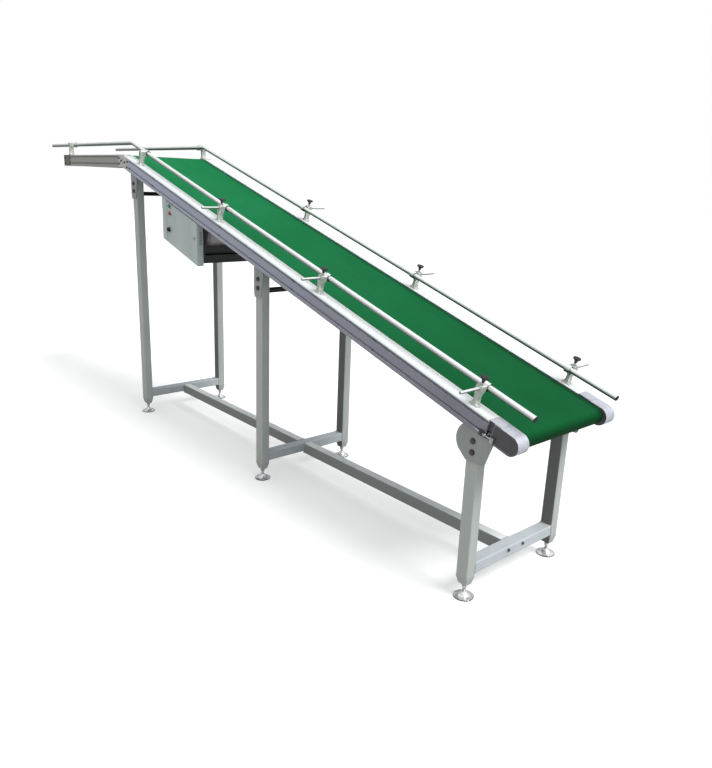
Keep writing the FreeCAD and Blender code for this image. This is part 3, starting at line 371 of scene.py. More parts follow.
def belt_cover():
    """Matte PVC cover: fine pebble, lengthwise scuffs, faint bloom, a diagonal spliced joint, and painted shade
    that darkens it towards the low end and on faces that turn away from the top.
    """
    tree = Tree()
    run = tree.along_frame()
    along, across, rise = tree.split(run)
    pebble = tree.node("TexVoronoi", {"Vector": run, "Scale": 900}).outputs["Distance"]
    scuffs = tree.noise(tree.scaled(run, (1.2, 45, 45)), 1, 5, 0.65)
    bloom = tree.noise(run, 1.6, 5, 0.6)
    # painted light and shade: brighter greens near the crest, darker ones spread towards the low end
    upper = tree.patches(bloom, 0.3, 0.75, "046a3a", "0c7746")
    lower = tree.patches(bloom, 0.3, 0.75, "054c25", "0c5830")
    base = tree.patches(along, 0.2, 3.3, upper, lower)
    base = tree.patches(scuffs, 0.5, 0.85, base, "2c8256", 0.1)
    # painted shade on faces that do not look up
    base = tree.mix(tree.upward(-0.1, 0.85), "043a1a", base)
    skewed = tree.math("ADD", along, tree.times(across, SPLICE_SKEW))
    away = tree.math("ABSOLUTE", tree.math("SUBTRACT", skewed, SPLICE_AT))
    groove = tree.times(tree.math("LESS_THAN", away, SPLICE_HALF),
                       tree.math("LESS_THAN", rise, RETURN_RISE))
    return tree.surface(
        tree.mix(groove, base, "08321e"), (scuffs, 0.52, 0.66), (pebble, 0.00014, 0.55),
        Specular_IOR_Level=0.05)


def belt_fabric():
    """Woven polyester on the belt's running side and its cut edges."""
    tree = Tree()
    run = tree.along_frame()
    along, across, _ = tree.split(run)
    yarn = 0.0011
    warp, weft = (tree.math("SINE", tree.times(way, 2 * pi / yarn)) for way in (along, across))
    weave = tree.times(warp, weft)
    dust = tree.noise(run, 8, 4)
    base = tree.patches(weave, -0.6, 0.6, "787e76", "aaaea4")
    base = tree.patches(dust, 0.45, 0.8, base, "60625c", 0.5)
    return tree.surface(base, 0.85, (weave, 0.0001, 0.5))


def polished_tube():
    """Polished stainless: fine circumferential polish marks, a few smudges, and a painted reflection that is white
    on top and dark underneath.
    """
    tree = Tree()
    run = tree.along_frame()
    lines = tree.noise(tree.scaled(run, (600, 8, 8)), 1)
    smudge = tree.noise(run, 14, 4)
    # painted reflection: faces that look up are painted near white, those that look down dark
    body = tree.mix(tree.upward(-0.3, 0.35), "4e5450", "fafefc")
    return tree.surface(body, (smudge, 0.09, 0.2), (lines, 0.00002, 0.4), 0.0008, Metallic=0.5)


def bright_steel(colour, rough, stretch=(1, 1, 1), metallic=1):
    """Bare or plated steel with drawn lines along the stretched axes and painted shade in its corners."""
    tree = Tree()
    spot = tree.position()
    lines = tree.noise(tree.scaled(spot, stretch), 500)
    cloud = tree.noise(spot, 40, 4)
    body = tree.patches(cloud, 0.3, 0.75, colour, linear(colour, 0.78))
    # painted shade in corners
    body = tree.mix(tree.cavity(0.008), linear(colour, 0.25), body)
    return tree.surface(
        body, (cloud, rough, rough + 0.14), (lines, 0.00005, 0.4), 0.0008, Metallic=metallic)


def moulded_plastic(colour, rough):
    tree = Tree()
    grain = tree.noise(tree.position(), 1400, 2)
    return tree.surface(
        tree.rims(colour, linear(colour, 1.6, 0.02), 0.0012), (grain, rough, rough + 0.08),
        (grain, 0.00006, 0.4), 0.001)


MATERIALS = {
    "rail_aluminium": extruded_aluminium(),
    "block_aluminium": machined_block("8c8a82", "5c5a5c"),
    # frame paint: painted shade in corners and painted light on faces that look to the near side
    "frame_paint": painted_steel("b4b9b7", "a8aeab", corner_shade="606462", near="bcbfb9"),
    "zinc_steel": bright_steel("d6d7d4", 0.26),
    "stainless_tube": polished_tube(),
    "belt_pvc": belt_cover(),
    "bed_steel": bright_steel("b4b4b4", 0.35, (1, 30, 30)),
    "black_paint": painted_steel("161515", "0e0d0e", 0.36, wear="96948e"),
    "cast_post": cast_aluminium("dee2da", "babeb6", 0.42),
    "knob_black": moulded_plastic("181819", 0.36),
    "foot_chrome": bright_steel("fafafa", 0.09, metallic=0.7),
    # control box paint: painted shade in corners
    "control_paint": painted_steel("c8d3d0", "bcc8c5", 0.34, corner_shade="6e7674"),
    "motor_paint": painted_steel("fff4f6", "f0e4e7", 0.4),
    "roller_metal": bright_steel("aaaaac", 0.3, (1, 0.05, 1)),
    "chain_steel": bright_steel("5c5854", 0.34),
    "button_green": moulded_plastic("247a4a", 0.25),
    "button_red": moulded_plastic("a82a24", 0.25),
    # the rest are no slot's finish
    "belt_fabric": belt_fabric(),
    "module_grey": moulded_plastic("b0b4b2", 0.4),
    "rubber": moulded_plastic("1c1c1d", 0.7),
    "dark_steel": bright_steel("706e6a", 0.3),
    "panel_trim": painted_steel("78807f", "68706f", 0.45),
    # painted shade: a darker copy of the frame paint for the rail hangers
    "hanger_paint": painted_steel("a6aaa7", "969a97", corner_shade="545856"),
    # painted light: a lighter, bluer copy of the frame paint for the cross stretchers, with painted shade on faces
    # that look to the near side
    "cross_paint": painted_steel("bcc2c6", "b0b7bb", corner_shade="686c6c", near="969a98"),
    # painted light: a near-white copy of the frame paint for the long stretchers, with painted shade on faces that
    # look to the near side
    "beam_paint": painted_steel("e8ecec", "dadfdf", corner_shade="6e7270", near="969a96"),
    # painted light: a near-white copy of the block finish for the crest plates
    "crest_plate": machined_block("f6f0ee", "f6f0ee"),
}
# the hanger, cross stretcher, long stretcher and crest plate finishes are copies of their slot's finish with
# painted light and painted shade
NODE_MATERIALS = {  # CAD nodes that differ from their slot's usual finish
    "rail_hangers": "hanger_paint", "cross_stretchers": "cross_paint", "long_stretchers": "beam_paint",
    "crest_plates": "crest_plate", "hinge_bolts": "dark_steel", "frame_bolts": "dark_steel"}


def dress_cad_nodes():
    for name, material in MATERIALS.items():
        material.name = name + "_finish"
    slots = {row["node"]: row["material_slot"] for row in frame["record"]["subparts"]}
    for name, piece in NODES.items():
        piece.data.materials.clear()
        piece.data.materials.append(MATERIALS[NODE_MATERIALS.get(name, slots[name])])
        piece.data.shade_smooth()
        piece.data.set_sharp_from_angle(angle=radians(28))


# ---------------- mesh building
def new_object(name, data):
    holder = bpy.data.objects.new(name, data)
    bpy.context.scene.collection.objects.link(holder)
    return holder


class Shape:
    """Closed solids gathered into one mesh piece."""

    def __init__(self):
        self.verts, self.faces = [], []

    def add(self, verts, faces, place=Matrix()):
        start = len(self.verts)
        self.verts += [place @ Vector(vert) for vert in verts]
        self.faces += [[start + corner for corner in face] for face in faces]

    def lathe(self, profile, place, steps=28):
        """Turn a closed (radius, height) outline about +Z; points with radius 0 lie on the axis."""
        verts, rows = [], []
        for radius, height in profile:
            if radius == 0:
                rows.append([len(verts)] * steps)
                verts.append((0, 0, height))
            else:
                rows.append(list(range(len(verts), len(verts) + steps)))
                verts += [(radius * cos(2 * pi * k / steps), radius * sin(2 * pi * k / steps), height)
                          for k in range(steps)]
        faces = []
        for low, high in zip(rows, rows[1:] + rows[:1]):
            for k in range(steps):
                after = (k + 1) % steps
                corners = list(dict.fromkeys((low[k], low[after], high[after], high[k])))
                if len(corners) > 2:
                    faces.append(corners)
        self.add(verts, faces, place)

    def sweep(self, points, radius, closed=False, sides=10, ripple=0.0):
        """Round bar along a line of points, with ripples if it is a weld."""
        count, last = len(points), len(points) - 1
        verts, faces = [], []
        side = None
        for k, point in enumerate(points):
            after = points[(k + 1) % count] if closed or k < last else point
            before = points[k - 1] if closed or k > 0 else point
            ahead = (after - before).normalized()
            if side is None:
                side = ahead.orthogonal().normalized()
            side = (side - ahead * side.dot(ahead)).normalized()
            other = ahead.cross(side)
            swell = radius * (1 + ripple * sin(2.1 * k))
            for j in range(sides):
                turn = 2 * pi * j / sides
                verts.append(point + side * cos(turn) * swell + other * sin(turn) * swell)
        for k in range(count if closed else last):
            here, there = k * sides, (k + 1) % count * sides
            for j in range(sides):
                after = (j + 1) % sides
                faces.append((here + j, here + after, there + after, there + j))
        if not closed:
            faces += [tuple(reversed(range(sides))), tuple(range(last * sides, count * sides))]
        self.add(verts, faces)

    def prism(self, outline, thickness, place, soften=0.0):
        """Flat outline in the XY plane made thick about z = 0, with its edges softened if wanted."""
        mesh = bmesh.new()
        half = thickness / 2
        low, high = ([mesh.verts.new((x, y, z)) for x, y in outline] for z in (-half, half))
        mesh.faces.new(list(reversed(low)))
        mesh.faces.new(high)
        for k in range(len(outline)):
            after = (k + 1) % len(outline)
            mesh.faces.new((low[k], low[after], high[after], high[k]))
        if soften:
            rims = [edge for edge in mesh.edges if edge.calc_face_angle(0) > radians(35)]
            bmesh.ops.bevel(mesh, geom=rims, offset=soften, segments=2, profile=0.5, affect="EDGES")
        mesh.verts.index_update()
        self.add([vert.co.copy() for vert in mesh.verts],
                 [[vert.index for vert in face.verts] for face in mesh.faces], place)
        mesh.free()

    def block(self, size, place, soften=0.0):
        x, y = size[0] / 2, size[1] / 2
        self.prism(((-x, -y), (x, -y), (x, y), (-x, y)), size[2], place, soften)

    def finish(self, name, slot, *materials, body="frame", smooth=40):
        """Make the piece, in its slot's finish unless others are named, and let it ride on a body."""
        mesh = bpy.data.meshes.new(name)
        mesh.from_pydata([tuple(vert) for vert in self.verts], [], self.faces)
        tidy = bmesh.new()
        tidy.from_mesh(mesh)
        bmesh.ops.recalc_face_normals(tidy, faces=tidy.faces)
        tidy.to_mesh(mesh)
        tidy.free()
        for material in materials or (slot,):
            mesh.materials.append(MATERIALS[material])
        mesh.shade_smooth()
        mesh.set_sharp_from_angle(angle=radians(smooth))
        piece = new_object(name, mesh)
        if body:
            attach(piece, body)
        return piece


def rounded_path(wide, tall, corner, steps=5):
    """Points round a rectangle with round corners, centred on the origin."""
    points = []
    for turn, (sign_x, sign_y) in enumerate(((1, 1), (-1, 1), (-1, -1), (1, -1))):
        for k in range(steps + 1):
            angle = radians(90 * turn + 90 * k / steps)
            points.append((sign_x * (wide / 2 - corner) + corner * cos(angle),
                           sign_y * (tall / 2 - corner) + corner * sin(angle)))
    return points


def dense(points, gap):
    """The same closed line with points no further apart than a gap."""
    out = []
    for first, second in zip(points, points[1:] + points[:1]):
        pieces = max(1, round((second - first).length / gap))
        out += [first.lerp(second, k / pieces) for k in range(pieces)]
    return out


def smooth_line(points, steps):
    """Catmull-Rom curve through the points."""
    ends = [points[0] * 2 - points[1]] + points + [points[-1] * 2 - points[-2]]
    out = []
    for a, b, c, d in zip(ends, ends[1:], ends[2:], ends[3:]):
        for k in range(steps):
            t = k / steps
            out.append(0.5 * (2 * b + (c - a) * t + (2 * a - 5 * b + 4 * c - d) * t * t
                              + (3 * b - a - 3 * c + d) * t ** 3))
    return out + [points[-1]]


# ---------------- belt
BELT_THICKNESS = 0.0019
BELT_GAP = 0.0001  # clearance between belt and rollers
BELT_HALF = 0.2625  # half the belt's width
BELT_CORNER = 0.0005  # rounding of the cut edges
BELT_STEP = 0.03
EDGE_WAVE = 0.0006
RETURN_SAG = 0.004
WRAPS = (("head_roller", 1), ("crest_roller", 1), ("tail_roller", 1), ("snub_roller_lower", -1),
         ("drive_drum", 1), ("snub_roller_upper", -1), ("return_roller_crest", -1))
RETURN_SPANS = (
    ("return_roller_crest", "snub_roller_upper"), ("snub_roller_lower", "return_roller_upper"),
    ("return_roller_upper", "return_roller_lower"), ("return_roller_lower", "tail_roller"))


def roller_circle(node):
    """Centre and radius, in the XZ plane, of a roller lying along Y."""
    low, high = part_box(node)
    return Vector((low.x + high.x, low.z + high.z)) / 2, max(high.x - low.x, high.z - low.z) / 2


def wrap_line(circles, gap):
    """Closed line round (centre, reach) circles; the reach is negative where it bends outwards."""
    headings = []
    for (first, r_first), (second, r_second) in zip(circles, circles[1:] + circles[:1]):
        span = second - first
        headings.append(atan2(span.y, span.x) + asin((r_second - r_first) / span.length))
    points = []
    for index, (middle, reach) in enumerate(circles):
        arrive, leave = headings[index - 1], headings[index]
        sweep = (leave - arrive) % (2 * pi)
        if reach > 0:
            sweep -= 2 * pi
        steps = max(4, int(abs(sweep * reach) / 0.004))
        for k in range(steps + 1):
            heading = arrive + sweep * k / steps
            out = Vector((-sin(heading), cos(heading)))
            points.append((middle + out * reach, out))
    line = []
    for (point, out), (after, _) in zip(points, points[1:] + points[:1]):
        line.append((point, out))
        pieces = int((after - point).length / gap)
        line += [(point.lerp(after, k / pieces), out) for k in range(1, pieces)]
    return line


def belt_section():
    """Points (y, outwards) round the belt's cross-section: cut edge, cover, cut edge, running side."""
    half = BELT_THICKNESS / 2
    edge = [(-BELT_HALF + BELT_CORNER, -half), (-BELT_HALF, -half * 0.45), (-BELT_HALF, half * 0.45),
            (-BELT_HALF + BELT_CORNER, half)]
    across = (-0.2, -0.13, -0.06, 0, 0.06, 0.13, 0.2)
    return (edge + [(y, half) for y in across] + [(-y, outwards) for y, outwards in reversed(edge)]
            + [(y, -half) for y in reversed(across)])


def return_drop(s, spans):
    """Sag of the return run at a distance down the slope."""
    drop = 0.0
    for start, end in spans:
        if start + 0.03 < s < end - 0.05:
            share = (s - start - 0.03) / (end - start - 0.08)
            drop = RETURN_SAG * min(1, (end - start) / 0.9) * sin(pi * share) ** 2
    return drop


def conveyor_belt():
    """Endless belt: cover, woven running side, rounded cut edges, a little sag in the return run."""
    offset = BELT_GAP + BELT_THICKNESS / 2
    circles = [(middle, side * (radius + offset))
               for side, (middle, radius) in ((side, roller_circle(node)) for node, side in WRAPS)]
    line, section = wrap_line(circles, BELT_STEP), belt_section()
    spans = [(down_slope(centre(first)), down_slope(centre(second))) for first, second in RETURN_SPANS]
    verts = []
    for point, out in line:
        place = Vector((point.x, 0, point.y))
        s, rise = down_slope(place), (place - CREST).dot(NORMAL)
        drop = return_drop(s, spans) if rise < -0.06 else 0.0
        for y, outwards in section:
            wave = EDGE_WAVE * sin(s * 5.3) if abs(y) > 0.25 else 0.0
            verts.append((point.x + out.x * outwards - NORMAL.x * drop, y + wave,
                          point.y + out.y * outwards - NORMAL.z * drop))
    count, width = len(line), len(section)
    faces, slots = [], []
    for k in range(count):
        here, ahead = k * width, (k + 1) % count * width
        for j in range(width):
            after = (j + 1) % width
            faces.append((here + j, here + after, ahead + after, ahead + j))
            slots.append(0 if 2 <= j < 12 else 1)  # cover, then fabric
    belt = Shape()
    belt.add(verts, faces)
    piece = belt.finish("belt_loop", "belt_pvc", "belt_pvc", "belt_fabric", body=None)
    piece.data.polygons.foreach_set("material_index", slots)
    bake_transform(piece)
    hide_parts("conveyor_belt")


# ---------------- frame fittings
WASHER = mm((6.2, 0), (12.5, 0), (13, 0.5), (13, 1.4), (12.2, 1.8), (6.2, 1.8))
BOLT_CAP = mm((0, 0), (6.6, 0), (6, 0.8), (3.5, 1.3), (0, 1.5))
SOCKET_HEAD = mm((0, 0), (4.2, 0), (4.2, 3), (3.6, 3.7), (2.2, 3.7), (1.8, 1.6), (0, 1.6))
END_PLUG = mm((0, -12), (10.9, -12), (10.9, 0), (12.5, 0), (12.5, 1.2), (10.8, 2.8), (6, 3.6), (0, 3.8))
FLUTE = mm((0, -2.6), (1.8, -2.4), (2.4, 0), (1.8, 2.4), (0, 2.6))
PAD_RIM = mm((-4, 0.2), (-1.2, 0.2), (0.8, 1.6), (1, 4.6), (-0.4, 5.6), (-4, 5.6))  # from its radius
NUT_CHAMFER = mm((5, 0), (9.6, 0), (9.8, 0.4), (9.6, 0.9), (5, 0.9))

TUBE_CORNER = 0.005  # corner radius of the frame's square tubes
BOLT_HEAD = 0.0072  # from a hinge bolt's end to the hanger's face
POST_FOOT, POST_FOOT_TOP = 0.02, 0.0058  # half the length and the thickness of a guide post's foot
POST_SCREW = 0.0155  # from a post's middle to its screws
HANGER_SCREWS, HANGER_SCREW_Y = (-0.052, 0.044), 0.2995  # from the lock bolt along the rail
DRIVE_SCREWS, DRIVE_SCREW_Y = (0.69, 0.83, 0.95, 1.07), 0.2755
SLOT_NUTS, SLOT_HEIGHTS = (0.45, 1.28, 2, 2.62), (-0.0133, -0.0583)
FIXED_LUG, MOVING_LUG, TENSION_NUT, TENSION_SCREW = 3.286, 3.342, 3.302, 3.336
LUG_STAND, LUG_HEIGHT = 0.0055, -0.062  # out from the rail, below its top
GUIDE_RADIUS = 0.0125


def hexagon_head(radius, height):
    return (0, 0), (radius, 0), (radius, height * 0.86), (radius * 0.9, height), (0, height)


def threaded_sleeve(length, radius, pitch=0.0015):
    """Outline of a fine thread round a rod, as a closed ring that starts inside the rod."""
    turns = max(2, int(length / pitch))
    step, inner = length / turns, radius - 0.0008
    points = [(inner, 0)]
    for k in range(turns):
        points += [(radius + 0.0001, k * step + 0.1 * step), (radius + 0.0005, (k + 0.5) * step)]
    return points + [(inner, length)]


def weld_beads():
    """Fillet welds where the stretchers, beams and ties meet their neighbours."""
    bead = Shape()
    for node, axis in (("cross_stretchers", 1), ("leg_ties", 1), ("long_stretchers", 0)):
        first, second = [k for k in range(3) if k != axis]
        for tube in solids(node):
            size = tube.high - tube.low
            for end in (tube.low[axis], tube.high[axis]):
                points = []
                for u, v in rounded_path(size[first], size[second], TUBE_CORNER):
                    point = tube.middle.copy()
                    point[axis] = end
                    point[first] += u
                    point[second] += v
                    points.append(point)
                bead.sweep(dense(points, 0.0035), 0.0026, closed=True, sides=8, ripple=0.16)
    bead.finish("weld_beads", "frame_paint")


def hinge_fittings():
    """Washers under the heads of the pivot and lock bolts, and domed caps on the heads."""
    fittings = Shape()
    for bolt in solids("hinge_bolts"):
        face = max(abs(bolt.low.y), abs(bolt.high.y)) - BOLT_HEAD
        for outline, stand, steps in ((WASHER, 0, 32), (BOLT_CAP, 0.007, 18)):
            place = at(bolt.middle.x, bolt.side * (face + stand), bolt.middle.z) @ outward(bolt.side)
            fittings.lathe(outline, place, steps)
    fittings.finish("hinge_washers", "zinc_steel", "dark_steel")


def post_screws():
    """Two socket screws through the foot of each guide post."""
    screws = Shape()
    for post in solids("guide_posts"):
        if on_level(post.middle):
            base = at(post.middle.x, post.middle.y, CREST.z)
        else:
            base = slope_frame((post.low.x - CREST.x) / COS + POST_FOOT, post.middle.y, 0)
        for shift in (-POST_SCREW, POST_SCREW):
            screws.lathe(SOCKET_HEAD, base @ at(shift, 0, POST_FOOT_TOP), 18)
    screws.finish("post_screws", "zinc_steel")


def hanger_screws():
    """Hexagon screws that hold the hangers' flanges and the drive plates to the rails."""
    screws = Shape()
    upside_down = turned(180, "X")
    for bolt in solids("hinge_bolts")[1::2]:
        for shift in HANGER_SCREWS:
            s = down_slope(bolt.middle) + shift
            place = slope_frame(s, bolt.side * HANGER_SCREW_Y, -RAIL_HEIGHT - 0.006)
            screws.lathe(hexagon_head(0.0085, 0.0055), place @ upside_down, 6)
    for side in (-1, 1):
        for s in DRIVE_SCREWS:
            place = slope_frame(s, side * DRIVE_SCREW_Y, -RAIL_HEIGHT - 0.0062)
            screws.lathe(hexagon_head(0.0065, 0.0045), place @ upside_down, 6)
    screws.finish("hanger_screws", "zinc_steel", smooth=25)


def slot_nuts():
    """Nuts left in the rails' outer grooves."""
    nuts = Shape()
    for y in (0.0045 - RAIL_OUTER_Y, RAIL_OUTER_Y - 0.0045):
        for s in SLOT_NUTS:
            for height in SLOT_HEIGHTS:
                nuts.block(mm(20, 3, 6.2), slope_frame(s, y, height), 0.0006)
    nuts.finish("slot_nuts", "zinc_steel", "dark_steel")


def tensioners():
    """On each side a lug on the rail, a lug on the sliding block and the screw between."""
    fixed, moving = Shape(), Shape()
    threads = [(0, -0.078)]
    for k in range(26):
        threads += [(0.0032, -0.078 + 0.003 * k), (0.0027, -0.0765 + 0.003 * k)]
    threads.append((0, 0))
    stand = RAIL_OUTER_Y + LUG_STAND
    for side in (-1, 1):
        for lug, s, size, radius in ((fixed, FIXED_LUG, mm(15, 11, 20), 0.0055),
                                     (moving, MOVING_LUG, mm(16, 11, 22), 0.006)):
            lug.block(size, slope_frame(s, side * stand, LUG_HEIGHT), 0.0012)
            head = slope_frame(s, side * (stand + size[1] / 2), LUG_HEIGHT) @ outward(side)
            lug.lathe(hexagon_head(radius, 0.0035), head, 6)
        nut = hexagon_head(0.0062, 0.005)
        for outline, s, steps in ((threads, TENSION_SCREW, 12), (nut, TENSION_NUT, 6)):
            moving.lathe(outline, slope_frame(s, side * stand, LUG_HEIGHT) @ turned(90, "Y"), steps)
    fixed.finish("tensioner_lugs", "cast_post", "dark_steel", smooth=25)
    moving.finish("tensioner_screws", "zinc_steel", smooth=25, body="tail_carriage")


def guide_end_plugs():
    """Moulded plugs in both ends of each guide tube."""
    for name in SIDES:
        low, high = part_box("guide_rail_" + name)
        y = (low.y + high.y) / 2
        upper = at(low.x, y, high.z - GUIDE_RADIUS) @ turned(-90, "Y")
        lower = at(high.x - GUIDE_RADIUS * SIN, y, low.z + GUIDE_RADIUS * COS) @ TILT @ turned(90, "Y")
        plugs = Shape()
        for place in (upper, lower):
            plugs.lathe(END_PLUG, place, 32)
        plugs.finish("guide_end_plugs_" + name, "stainless_tube", "rubber", body="side_guide_" + name)


def guide_set_screws():
    """Set screws that clamp each guide sleeve to its tube."""
    for name, side in SIDES.items():
        screws = Shape()
        for sleeve in solids("guide_clamps_" + name):
            inner = min(abs(sleeve.low.y), abs(sleeve.high.y)) + 0.0012
            turn = Matrix() if on_level(sleeve.middle) else TILT
            place = at(sleeve.middle.x, side * inner, sleeve.middle.z) @ turn @ outward(-side)
            screws.lathe(SOCKET_HEAD, place, 16)
        screws.finish("guide_set_screws_" + name, "zinc_steel", body="side_guide_" + name)


def knob_details():
    """Threaded stem under each hand knob, and grip flutes round its head."""
    for body in [name for name in BODIES if name.startswith("clamp_knob_")]:
        joint = JOINTS[body.replace("clamp_", "") + "_turn"]
        foot = Vector(joint["pos_m"]) - Vector(joint["axis"]).normalized() * 0.0098
        place = at(*foot) @ TILT
        stem = Shape()
        stem.lathe(threaded_sleeve(0.0092, 0.0041, 0.00125), place, 20)
        stem.finish(body.replace("clamp_knob", "knob_stem"), "zinc_steel", body=body)
        flutes = Shape()
        for turn in ring(7):
            flutes.lathe(FLUTE, place @ turn @ at(0.0166, 0, 0.0308), 12)
        flutes.finish(body.replace("clamp_knob", "knob_grips"), "knob_black", body=body)


def foot_details():
    """Rubber ring, threads and lock-nut chamfers of each levelling foot."""
    for body in [name for name in BODIES if name.startswith("foot_")]:
        x, y, _ = centre(body)
        low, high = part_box(body)
        radius = (high.x - low.x) / 2
        pad = Shape()
        pad.lathe([(radius + out, height) for out, height in PAD_RIM], at(x, y, 0), 48)
        pad.finish(body + "_pad", "knob_black", "rubber", body=body)
        thread = Shape()
        for height, length in ((0.0262, 0.018), (0.0542, 0.0075)):
            thread.lathe(threaded_sleeve(length, 0.006), at(x, y, height), 22)
        for height in (0.0432, 0.0538):
            thread.lathe(NUT_CHAMFER, at(x, y, height), 30)
        thread.finish(body + "_thread", "zinc_steel", body=body)


# ---------------- drive station
SPROCKETS = (("drum_sprocket", 0.0483), ("motor_sprocket", 0.0343))  # with their pitch radii
CHAIN_PITCH = 0.0127
LINK_RADIUS, LINK_WAIST, LINK_THICKNESS = 0.0038, 0.0029, 0.0009
LINK_SHIFTS = (0.0024, 0.0035)  # inner and outer plates, out from the chain's middle
CHAIN_ROLLER = mm((0, -4), (1.5, -4), (1.5, -1.9), (3, -1.9), (3, 1.9), (1.5, 1.9), (1.5, 4), (0, 4))


def drive_chain():
    """Roller chain: side plates and rollers along the closed line round both sprockets."""
    circles = [(roller_circle(node)[0], radius) for node, radius in SPROCKETS]
    line = [point for point, _ in wrap_line(circles, 0.002)]
    lengths = [0.0]
    for first, second in zip(line, line[1:] + line[:1]):
        lengths.append(lengths[-1] + (second - first).length)
    total = lengths[-1]
    links = 2 * round(total / CHAIN_PITCH / 2)
    middle_y = centre("drive_chain").y

    def spot(distance):
        index = bisect_right(lengths, distance) - 1
        share = (distance - lengths[index]) / max(1e-9, lengths[index + 1] - lengths[index])
        return line[index].lerp(line[(index + 1) % len(line)], share)

    pins = [spot(total * k / links) for k in range(links)]
    chain = Shape()
    for k, (first, second) in enumerate(zip(pins, pins[1:] + pins[:1])):
        middle, span = (first + second) / 2, second - first
        turn = Matrix.Rotation(-atan2(span.y, span.x), 4, "Y") @ turned(90, "X")
        outline = []
        for end in (1, -1):
            for step in range(7):
                angle = radians(-90 + 30 * step) + (0 if end > 0 else pi)
                x = end * span.length / 2 + LINK_RADIUS * cos(angle)
                outline.append((x, LINK_RADIUS * sin(angle)))
            outline.append((0, end * LINK_WAIST))
        for side in (-1, 1):
            place = at(middle.x, middle_y + side * LINK_SHIFTS[k % 2], middle.y) @ turn
            chain.prism(outline, LINK_THICKNESS, place)
        chain.lathe(CHAIN_ROLLER, at(first.x, middle_y, first.y) @ turned(-90, "X"), 10)
    piece = chain.finish("roller_chain", "chain_steel", smooth=30)
    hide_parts("drive_chain")


BARREL, FIN_MIDDLE = 0.062, -0.152  # motor barrel's radius, middle of the fins along Y
TERMINAL_TOP = 0.086  # terminal box, above the motor's axis
GEAR_FLANGE = mm((14, 0), (46, 0), (46, 6), (44, 7.5), (22, 7.5), (20, 11), (14, 11))
CABLE_EXIT = Vector((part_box("control_box")[0].x, -0.3035, 1.363))
CABLE_ROUTE = ((0.6, -0.2755, -0.19), (0.665, -0.2735, -0.195), (0.72, -0.2745, -0.262),
               (0.8, -0.2755, -0.276), (0.865, -0.2755, -0.258), (0.908, -0.2755, -0.226),
               (0.96, -0.2755, -0.196), (1, -0.2765, -0.15), (1.008, -0.262, -0.124),
               (1.008, -0.236, -0.12))


def motor_fins(hub):
    """Cooling fins, left out above and below where the terminal box and the base are."""
    fins = Shape()
    for k in range(36):
        angle = 10 * k
        if not (50 < angle < 130 or 228 < angle < 312):
            place = hub @ turned(-angle, "Y") @ at(BARREL + 0.003, FIN_MIDDLE, 0)
            fins.block(mm(8.5, 150, 2.2), place, 0.0005)
    fins.finish("motor_fins", "motor_paint")


def fan_grille(hub):
    grille = Shape()
    facing = hub @ at(0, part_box("motor_body")[0].y + 0.0002, 0) @ outward(-1)
    for radius in (0.012, 0.018, 0.024, 0.029):
        inner, outer = radius - 0.0011, radius + 0.0011
        grille.lathe(((inner, -0.001), (outer, -0.001), (outer, 0.0012), (inner, 0.0012)), facing, 32)
    for turn in ring(6):
        grille.block(mm(18, 2, 2), facing @ turn @ at(0.0205, 0, 0), 0.0004)
    grille.finish("fan_grille", "black_paint")


def terminal_lid(hub):
    """Lid of the terminal box with its screws and cable gland."""
    lid = Shape()
    lid.block(mm(74, 84, 5), hub @ at(0.005, -0.182, TERMINAL_TOP + 0.0026), 0.0014)
    for y in (-0.217, -0.147):
        for x in (-0.026, 0.036):
            lid.lathe(SOCKET_HEAD, hub @ at(x, y, TERMINAL_TOP + 0.0046), 14)
    gland = hub @ at(0.005, -0.2222, 0.07) @ outward(-1)
    lid.lathe(hexagon_head(0.0095, 0.007), gland, 6)
    lid.lathe(mm((0, 6), (7.5, 6), (6.8, 14), (0, 14.5)), gland, 20)
    lid.finish("terminal_lid", "motor_paint")


def gear_case_ribs(hub):
    """Ribs on the gear case, and its output flange with six screws."""
    ribs = Shape()
    for shift in (-0.036, -0.012, 0.012, 0.036):
        ribs.block(mm(4, 100, 6), hub @ at(shift, -0.006, 0.0595), 0.001)
    flange = hub @ at(0, 0.054, 0) @ outward(1)
    ribs.lathe(GEAR_FLANGE, flange, 40)
    for turn in ring(6, start=30):
        ribs.lathe(hexagon_head(0.0045, 0.0035), flange @ turn @ at(0.036, 0, 0.0074), 6)
    ribs.finish("gear_case_ribs", "motor_paint", smooth=30)


def motor_details():
    """Fittings of the geared motor, and its supply cable."""
    axis, _ = roller_circle("motor_sprocket")
    hub = at(axis.x, 0, axis.y) @ TILT
    motor_fins(hub)
    fan_grille(hub)
    terminal_lid(hub)
    gear_case_ribs(hub)
    start = CABLE_EXIT + Vector((-0.008, 0, 0))
    route = [start, start + Vector((-0.02, 0, 0)), start + Vector((-0.034, 0.014, 0.018))]
    cable = Shape()
    cable.sweep(smooth_line(route + [slope(*point) for point in CABLE_ROUTE], 8), 0.0038)
    cable.finish("motor_cable", "knob_black", "rubber")


# ---------------- control box
DOOR_FACE_Y = -0.331
BEZELS = (("start_button", 0.0115), ("stop_button", 0.0115), ("speed_knob", 0.0135))  # inner radii
DIAL_RADIUS, GRIP_RADIUS = 0.0205, 0.0124
LATCH = mm((0, -1), (11.5, -1), (11.5, 1.4), (10, 2.6), (0, 2.6))


